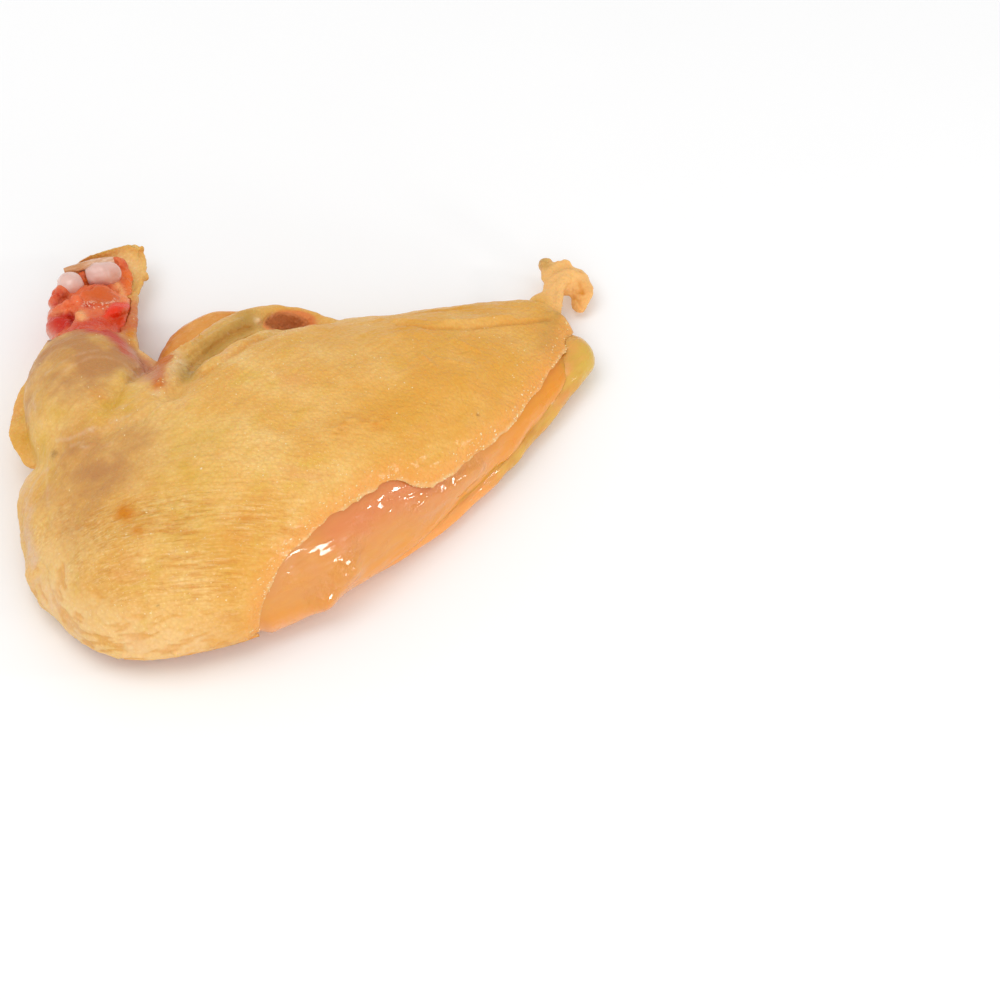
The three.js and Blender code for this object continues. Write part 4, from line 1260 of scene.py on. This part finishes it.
def make_skin(flesh_grown):
    """The whole skin: breast cap, wing sleeve, web, collar and the curled tail, one closed thin shell."""
    cap_reaches = np.linspace(0.03, SKIN_REACH, 150)
    cap = breast_rings(GAP + SKIN, cap_reaches, 320)
    cap = np.concatenate([cap, breast_rings(-TURN_IN, [SKIN_REACH], 320)])
    loose = [swept(form, 60, 40) for form in (
        WEB, COLLAR, COLLAR_BACK, COLLAR_FOLD, COLLAR_RISE, WING_FOLD, TAIL, TAIL_LOBE)]
    loose += [egg_rings(form, sides=24) for form in TAIL_FOLDS]
    rim = breast_point(np.linspace(0.575, 0.66, 9), np.full(9, 0.98), GAP + SKIN)
    for frill in (TIP_FRILL, (rim, 16, 0.5, 0.4, 0.9, 54), LIP_FRILL):
        loose += lumps_along(*frill)
    loose.append(egg_rings(LIP_KNOB, sides=20))
    for frill in LOOSE_FRILLS:
        loose += lumps_along(*frill)
    thing = solid("skin_cover", cap, sleeve_rings(), *loose)
    fuse(thing, voxel=0.52, smoothing=3)
    raise_surface(thing, skin_heights(places_of(thing)))
    cut_away(
        thing, bare_cutter(), solid("pocket_room", egg_rings(POCKET)), breast_room(GAP), flesh_grown,
        solid("fillet_room", swept(FILLET, 60, 40, GAP)), *knuckle_rooms(),
        solid("tendon_room", swept(TENDON, 20, 20, GAP)), floor_cutter())
    drop_scraps(thing)
    thin_out(thing, MOST_TRIANGLES)
    paint_skin(thing)
    return thing


# Pale fibres of membrane that cross the skin of the shoulder and the wing joint.
FIBRES = [
    [[-66.7, 19.3, 24.6], [-71.3, 19.4, 20.4], [-74.8, 17.9, 17.3]],
    [[-66.7, 19.3, 24.6], [-69.4, 14, 24], [-72, 8, 23.6]],
    [[-62.2, 23.2, 29.9], [-59.4, 20, 31.8], [-56.5, 18.5, 33.7], [-53, 18.4, 34.4], [-50.4, 16.6, 35.1],
     [-44.7, 11, 38.2]],
    [[-60, 18, 31.6], [-56, 15.6, 34], [-52.6, 15, 35.4], [-49, 12.4, 37]],
    [[-58, 15, 33], [-55, 11, 35], [-51.4, 9.4, 36.6]],
    [[-48, 17.1, 35.7], [-45.6, 15.2, 37], [-42.9, 14.8, 37.9]],
    [[-54, 19, 34], [-52, 14, 35.6], [-48.8, 11, 37.6]],
    [[-60.1, 42.7, 27.3], [-61.8, 35.7, 28], [-62.5, 30.5, 28.6]],
    [[-46, 22, 35], [-42, 19, 36.6], [-38, 18.6, 37]],
    [[-49.8, 41.8, 33.2], [-41.9, 42.8, 33.2], [-37, 41.2, 32.1], [-33.4, 38.1, 30.1], [-31.2, 34.8, 27.6]],
    [[-54.1, 45.4, 30.5], [-48.9, 45.6, 32.3], [-43.3, 45.7, 32.9], [-38.5, 44.9, 32.2]]]
# Painted marks of the skin: path, strength, half-width.
YELLOW_LUMPS = [
    ([[-37, 33, 31], [-40, 29, 33.3], [-41, 23, 35.5]], 1, 3.4),
    ([[-58.3, 37.3, 30], [-57.8, 29, 32.4]], 0.7, 3)]
MEMBRANE_RIM = [
    ([[-70.6, 25.1, 15.9], [-76, 15.2, 17], [-80, 6, 14], [-82, -8, 12], [-80, -24, 11]], 0.65, 3.4)]
SHOULDER_RIM = [([[-80, -16, 12], [-70, -36, 14], [-46, -47, 10]], 0.4, 6)]
SKIN_MARKS = {
    "blush": [
        ([[-59.8, 13.3, 32.2], [-62, 3.3, 32], [-56, 2, 35.1], [-48, 5, 38]], 1, 8),
        ([[-72.7, 9, 23.1], [-70, -6, 27]], 0.35, 7),
        ([[-36, 42, 30], [-42, 34, 32.5], [-52, 32, 32]], 0.7, 6)],
    "lemon": [
        ([[-42.5, 18.2, 36.8], [-46.2, 24, 34.4]], 0.8, 2.4),
        ([[-33, -7, 42], [-48, -26, 38]], 0.6, 10),
        ([[-64.4, 39.9, 18.7], [-65.6, 26.7, 24.1]], 1.3, 5),
        ([[-52, 60, 15], [-60, 47, 15]], 0.6, 3)],
    "olive": [
        ([[-20.5, 23.3, 33], [-13, 31, 28], [-7.9, 36.9, 23.4], [1.8, 40.4, 22.3], [8, 43, 20.6]], 0.9, 4.5),
        ([[97.4, 29.6, 8.8], [97.8, 32, 8.8]], 0.75, 1.8),
        ([[80, -4, 15], [86, 6, 13], [90, 8, 11]], 0.6, 4)],
    "amber": [
        ([[-59.4, -13.3, 35.5], [-59.0, -14.4, 36]], 1.2, 2.1),
        ([[-58.6, -21, 35.6], [-58.2, -22, 35.6]], 0.7, 1.4),
        ([[100.6, 15.6, 4], [103.8, 18.2, 6]], 0.35, 2.4),
        ([[-47, 28.4, 34.7], [-46, 27, 35]], 0.4, 2),
        ([[-13.8, 79.5, 11.4], [-16.5, 73.5, 12], [-19.6, 66, 12.4]], 0.2, 1.8),
        ([[-21.4, 60, 18], [-24, 55.4, 20]], 0.9, 2.4),
        ([[-64, 42, 15], [-65, 30, 20]], 0.15, 4),
        ([[-24.6, 55, 22], [-26.4, 52.6, 23.4], [-27, 50, 23.6]], 0.8, 1.8),
        # Amber along the tail's creases: painted shade.
        *[(path, 0.4, 0.6) for path, _, _ in TAIL_CREASES]],
    "warm": [
        ([[-58, -46, 8], [-36, -46, 12], [-36, -38, 26]], 1, 9),
        ([[3, -17.5, 37], [18, -19, 33.6]], 0.5, 11)],
    "deep": [
        ([[-21, 41, 23], [-23, 38, 25.4]], 0.7, 2.4),
        ([[-20.4, 38.6, 26], [-24.6, 34.6, 28.4], [-27.9, 27.3, 33.3], [-31, 21.4, 35.9]], 1.3, 2.2)],
    # Painted shade along the creases and the fold's hollow.
    "crease_shade": [
        ([[-20, 17, 37], [-9, 21.2, 35], [-1, 25.2, 33]], 0.8, 1.1),
        (RIB_CREASE, 0.6, 0.9),
        (LOW_CREASE, 0.5, 0.9),
        ([[-7.8, 24.2, 33.9], [-4.2, 27.3, 31], [3, 27.8, 31.1]], 0.8, 1.2),
        (STRIP_CREASE, 0.7, 0.9)],
    "pale": [
        (LIP[:5], 0.55, 1.6),
        ([[-10, 94, 10], [-8, 88, 9]], 0.4, 3),
        ([[10.1, 42.4, 20.8], [10.2, 42.5, 21]], 0.8, 1.2)],
    "membrane": [(fibre, 0.35, 0.5) for fibre in FIBRES],
    "pink": [([[-34, 56, 28], [-30.6, 53, 27.2], [-29.8, 49, 27], [-29.6, 45, 26.8]], 1.1, 3.1)],
    # A band partly purplish in its own colour, partly a painted sheen; it is also wetter.
    "purple_painted_sheen": [([[-28.6, 45, 25], [-26.8, 42.4, 22.6], [-26.6, 36.5, 25.6], [-30, 27, 32.5]], 1, 3.2)],
    "dark_speck": [
        ([[-64, 20.4, 28.2], [-64.4, 20.8, 28]], 0.5, 1.2),
        ([[45.2, -22, 24], [45.4, -22, 24]], 1, 0.4),
        ([[-62.6, -38.7, 24.6], [-62.4, -38.7, 24.6]], 0.9, 0.35),
        ([[99.4, 26.4, 10], [99.6, 26.4, 10]], 0.8, 0.4)]}


def paint_skin(thing):
    """Tints of the skin where the photograph shows them, painted light and shade, and where beads of fat may
    lie.
    """
    places = places_of(thing)
    x, y, z = places.T
    share, degrees, out = wing_place(places)
    on_wing = smoothstep(3.2 - out, 0, 2) * smoothstep(share, 0.1, 0.3)
    bare = bare_distance(places)
    pleated, pleats = edge_pleats(places)
    marks = {name: strokes(places, lines) for name, lines in SKIN_MARKS.items()}
    lumps = strokes(places, YELLOW_LUMPS)
    marks["blush"] += 1.2 * on_wing * smoothstep(z, 14, 24) * (0.85 + 0.4 * noise(places, [7, 7, 5], 73, 2))
    marks["blush"] *= (0.85 + 0.4 * noise(places, 6, 64, 2)) * (1 - 0.75 * np.clip(lumps, 0, 1))
    marks["lemon"] += 0.9 * lumps
    marks["lemon"] *= 0.75 + 0.5 * noise(places, 4, 59)
    speckled = np.clip(0.5 + noise(places, 1.6, 60, 2), 0, 1)
    marks["amber"] += 0.5 * speckled * strokes(places, [(KEEL_RIDGE, 1, 2.4)])
    marks["warm"] += smoothstep(x, -12, 50) * (0.85 + 0.4 * noise(places, 12, 65, 2))
    plan = strokes(places[:, :2], [([[1, 25.2], [9, 27.6], [18, 29], [27, 31]], 0.7, 0.9)])
    # Painted shade in the fold's hollow, the pleats' grooves and the wrinkles' troughs.
    marks["crease_shade"] += plan * smoothstep(z, 10, 16) + 0.7 * pleated * pleats
    marks["crease_shade"] += np.clip(-1.7 * (1 - pleated) * keel_wrinkles(places) - 0.12, 0, 0.75)
    torn = 0.35 + 0.65 * smoothstep(noise(places, 3, 69, 2), -0.4, 0.4)
    marks["pale"] += strokes(places, SHOULDER_RIM) * (0.6 + 0.6 * noise(places, 5, 61))
    # The pleats' ridges painted paler: a painted highlight.
    marks["pale"] += 0.3 * pleated * (1 - pleats)
    marks["pale"] += 0.45 * torn * (1 - smoothstep(bare, 0.2, 1.1)) * smoothstep(z, 4, 8)
    marks["membrane"] += strokes(places, MEMBRANE_RIM) * (0.6 + 0.7 * noise(places, [3, 3, 7], 66, 2))
    reach = station_value(SLEEVE_REACH, degrees)
    left = np.where((out < 4) & (share > 0.25), (reach - share) * WING_LENGTH, 99.0)
    edge_of_sleeve = (1 - smoothstep(left, -1, 5)) * smoothstep(out, -3, 0) * smoothstep(z, 12, 18)
    marks["pink"] += 0.6 * edge_of_sleeve * smoothstep(x, -47, -42)
    wet = 0.9 * (1 - smoothstep(bare, 1, 8)) + 0.8 * marks["purple_painted_sheen"]
    wet += 0.3 * smoothstep(noise(places, 9, 62, 2), 0.1, 0.6)
    thin = (1 - smoothstep(bare, 0, 9)) * 0.85 * (1 - smoothstep(x, 88, 93))
    pocket = smoothstep(1.25 - np.linalg.norm((places - POCKET[0]) / POCKET[1], axis=1), 0, 0.2)
    grainy = (1 - smoothstep(bare, 0.2, 1.2)) * smoothstep(bare, -1.2, -0.4)
    grainy = grainy + 0.16 * (1 - smoothstep(bare, 1, 7))
    grainy = grainy * (0.3 + 0.7 * smoothstep(noise(places, 5, 63, 2), -0.3, 0.3)) * smoothstep(z, 5, 9)
    sparse = 0.022 * smoothstep(noise(places, 11, 70, 2), 0, 0.4) * smoothstep(z, 12, 20)
    grainy += 0.3 * swell(distance_to_path(places, LIP[:5]), 1.0) + sparse
    paint(
        thing, **marks, wet=wet, thin=thin, pocket=pocket, grainy=grainy, pleated=pleated,
        rib_side=smoothstep(y + 0.1 * x, -14, 10), tail=smoothstep(x, 86, 93),
        creased=1.2 * pull_of_skin(places)[2] * (1 - pleated))


def make_flap():
    """The smooth flap of fatty skin behind the fold."""
    skin_reach = GAP + SKIN + GAP
    thing = solid("fat_flap", swept(BACK_FLAP, 120, 90))
    wing_room = solid("wing_room", swept(WING, 40, 60, skin_reach))
    cut_away(thing, breast_room(skin_reach), floor_cutter(), wing_room)
    drop_scraps(thing)
    places = places_of(thing)
    raise_surface(thing, smoothstep(places[:, 2], 0.2, 2) * 0.3 * noise(places, [9, 3, 3], 61, 3))
    paint(thing, deep=smoothstep(13 - places[:, 2], 0, 6) * smoothstep(-places[:, 0], -2, 11))
    return thing


def make_knuckle(name, form, groove):
    """A rounded end of bone capped with gristle. One with a groove sinks away at its far end."""
    thing = solid(name, egg_rings(form, sides=90))
    places = places_of(thing)
    across = (places - form[0]) @ np.array([1.0, 0.25, 0])
    sunk = smoothstep(places[:, 0] - form[0][0], 1.2, 4.8) * (groove > 0)
    raise_surface(thing, 0.22 * noise(places, 3.2, 71, 2) - 0.05 - groove * swell(across, 1.1) - 0.9 * sunk)
    paint(thing, flush=smoothstep(form[0][1] - places[:, 1], 1.4, 3.6) + 0.8 * sunk)
    return thing


def make_tendon():
    """The flat tendon that lies across above the knuckles, its ends cut square."""
    thing = solid("tendon_strip", sweep_rings(TENDON, np.linspace(0, 1, 70), 36))
    cut_away(thing, *knuckle_rooms())
    drop_scraps(thing)
    places = places_of(thing)
    raise_surface(thing, 0.1 * noise(places, [5, 1.2, 1.2], 81, 2))
    # Tan towards the left end; the cut right end darkened as painted shade.
    paint(thing, tan=smoothstep(-19 - places[:, 0], 0, 5) + 0.8 * smoothstep(places[:, 0], -13.4, -12.2))
    return thing


def make_floor():
    half = 3.0
    corners = [(-half, -half, 0), (half, -half, 0), (half, half, 0), (-half, half, 0)]
    mesh = bpy.data.meshes.new("floor")
    mesh.from_pydata(corners, [], [(0, 1, 2, 3)])
    floor = bpy.data.objects.new("floor", mesh)
    floor.data.materials.append(floor_finish())
    bpy.context.scene.collection.objects.link(floor)


def set_light():
    """Bright even studio light: a white room, two large soft lamps and two small ones for sparkle."""
    world = bpy.data.worlds.new("white_room")
    world.use_nodes = True
    background = world.node_tree.nodes["Background"]
    background.inputs["Color"].default_value = (1, 1, 1, 1)
    background.inputs["Strength"].default_value = ROOM_BRIGHTNESS
    bpy.context.scene.world = world
    for lamp in LAMPS:
        add_lamp(*lamp)
    bpy.context.scene.view_settings.view_transform = "Standard"


set_camera()
set_light()
make_floor()

muscle = make_muscle()
fillet = make_fillet()
wing_flesh, wing_flesh_grown = make_wing_flesh()
skin = make_skin(wing_flesh_grown)
flap = make_flap()
outer_knuckle = make_knuckle("outer_knuckle", OUTER_KNUCKLE, groove=0.0)
inner_knuckle = make_knuckle("inner_knuckle", INNER_KNUCKLE, groove=0.35)
tendon = make_tendon()

pale_beads = bead_finish("pale_fat_grains", (252, 226, 176), (244, 202, 134))
red_beads = bead_finish("moist_red_beads", (248, 190, 160), (236, 142, 104))
fat_grains = scatter_beads(
    skin, "fat_grains_at_edge", pale_beads, "grainy", density=1.6, size=0.31, seed=8)
moisture = scatter_beads(
    wing_flesh, "moisture_on_wing_end", red_beads, "wet", density=1.8, size=0.42, seed=9)

gristle = gristle_finish()
place_piece(muscle, muscle_finish(), "breast_meat")
place_piece(fillet, fillet_finish(), "inner_fillet")
place_piece(wing_flesh, wing_finish(), "wing_meat")
place_piece(skin, skin_finish(), "skin")
place_piece(flap, fat_finish(), "back_flap")
place_piece(outer_knuckle, gristle, "knuckle_outer")
place_piece(inner_knuckle, gristle, "knuckle_inner")
place_piece(tendon, tendon_finish(), "tendon")
place_piece(fat_grains, pale_beads)
place_piece(moisture, red_beads)
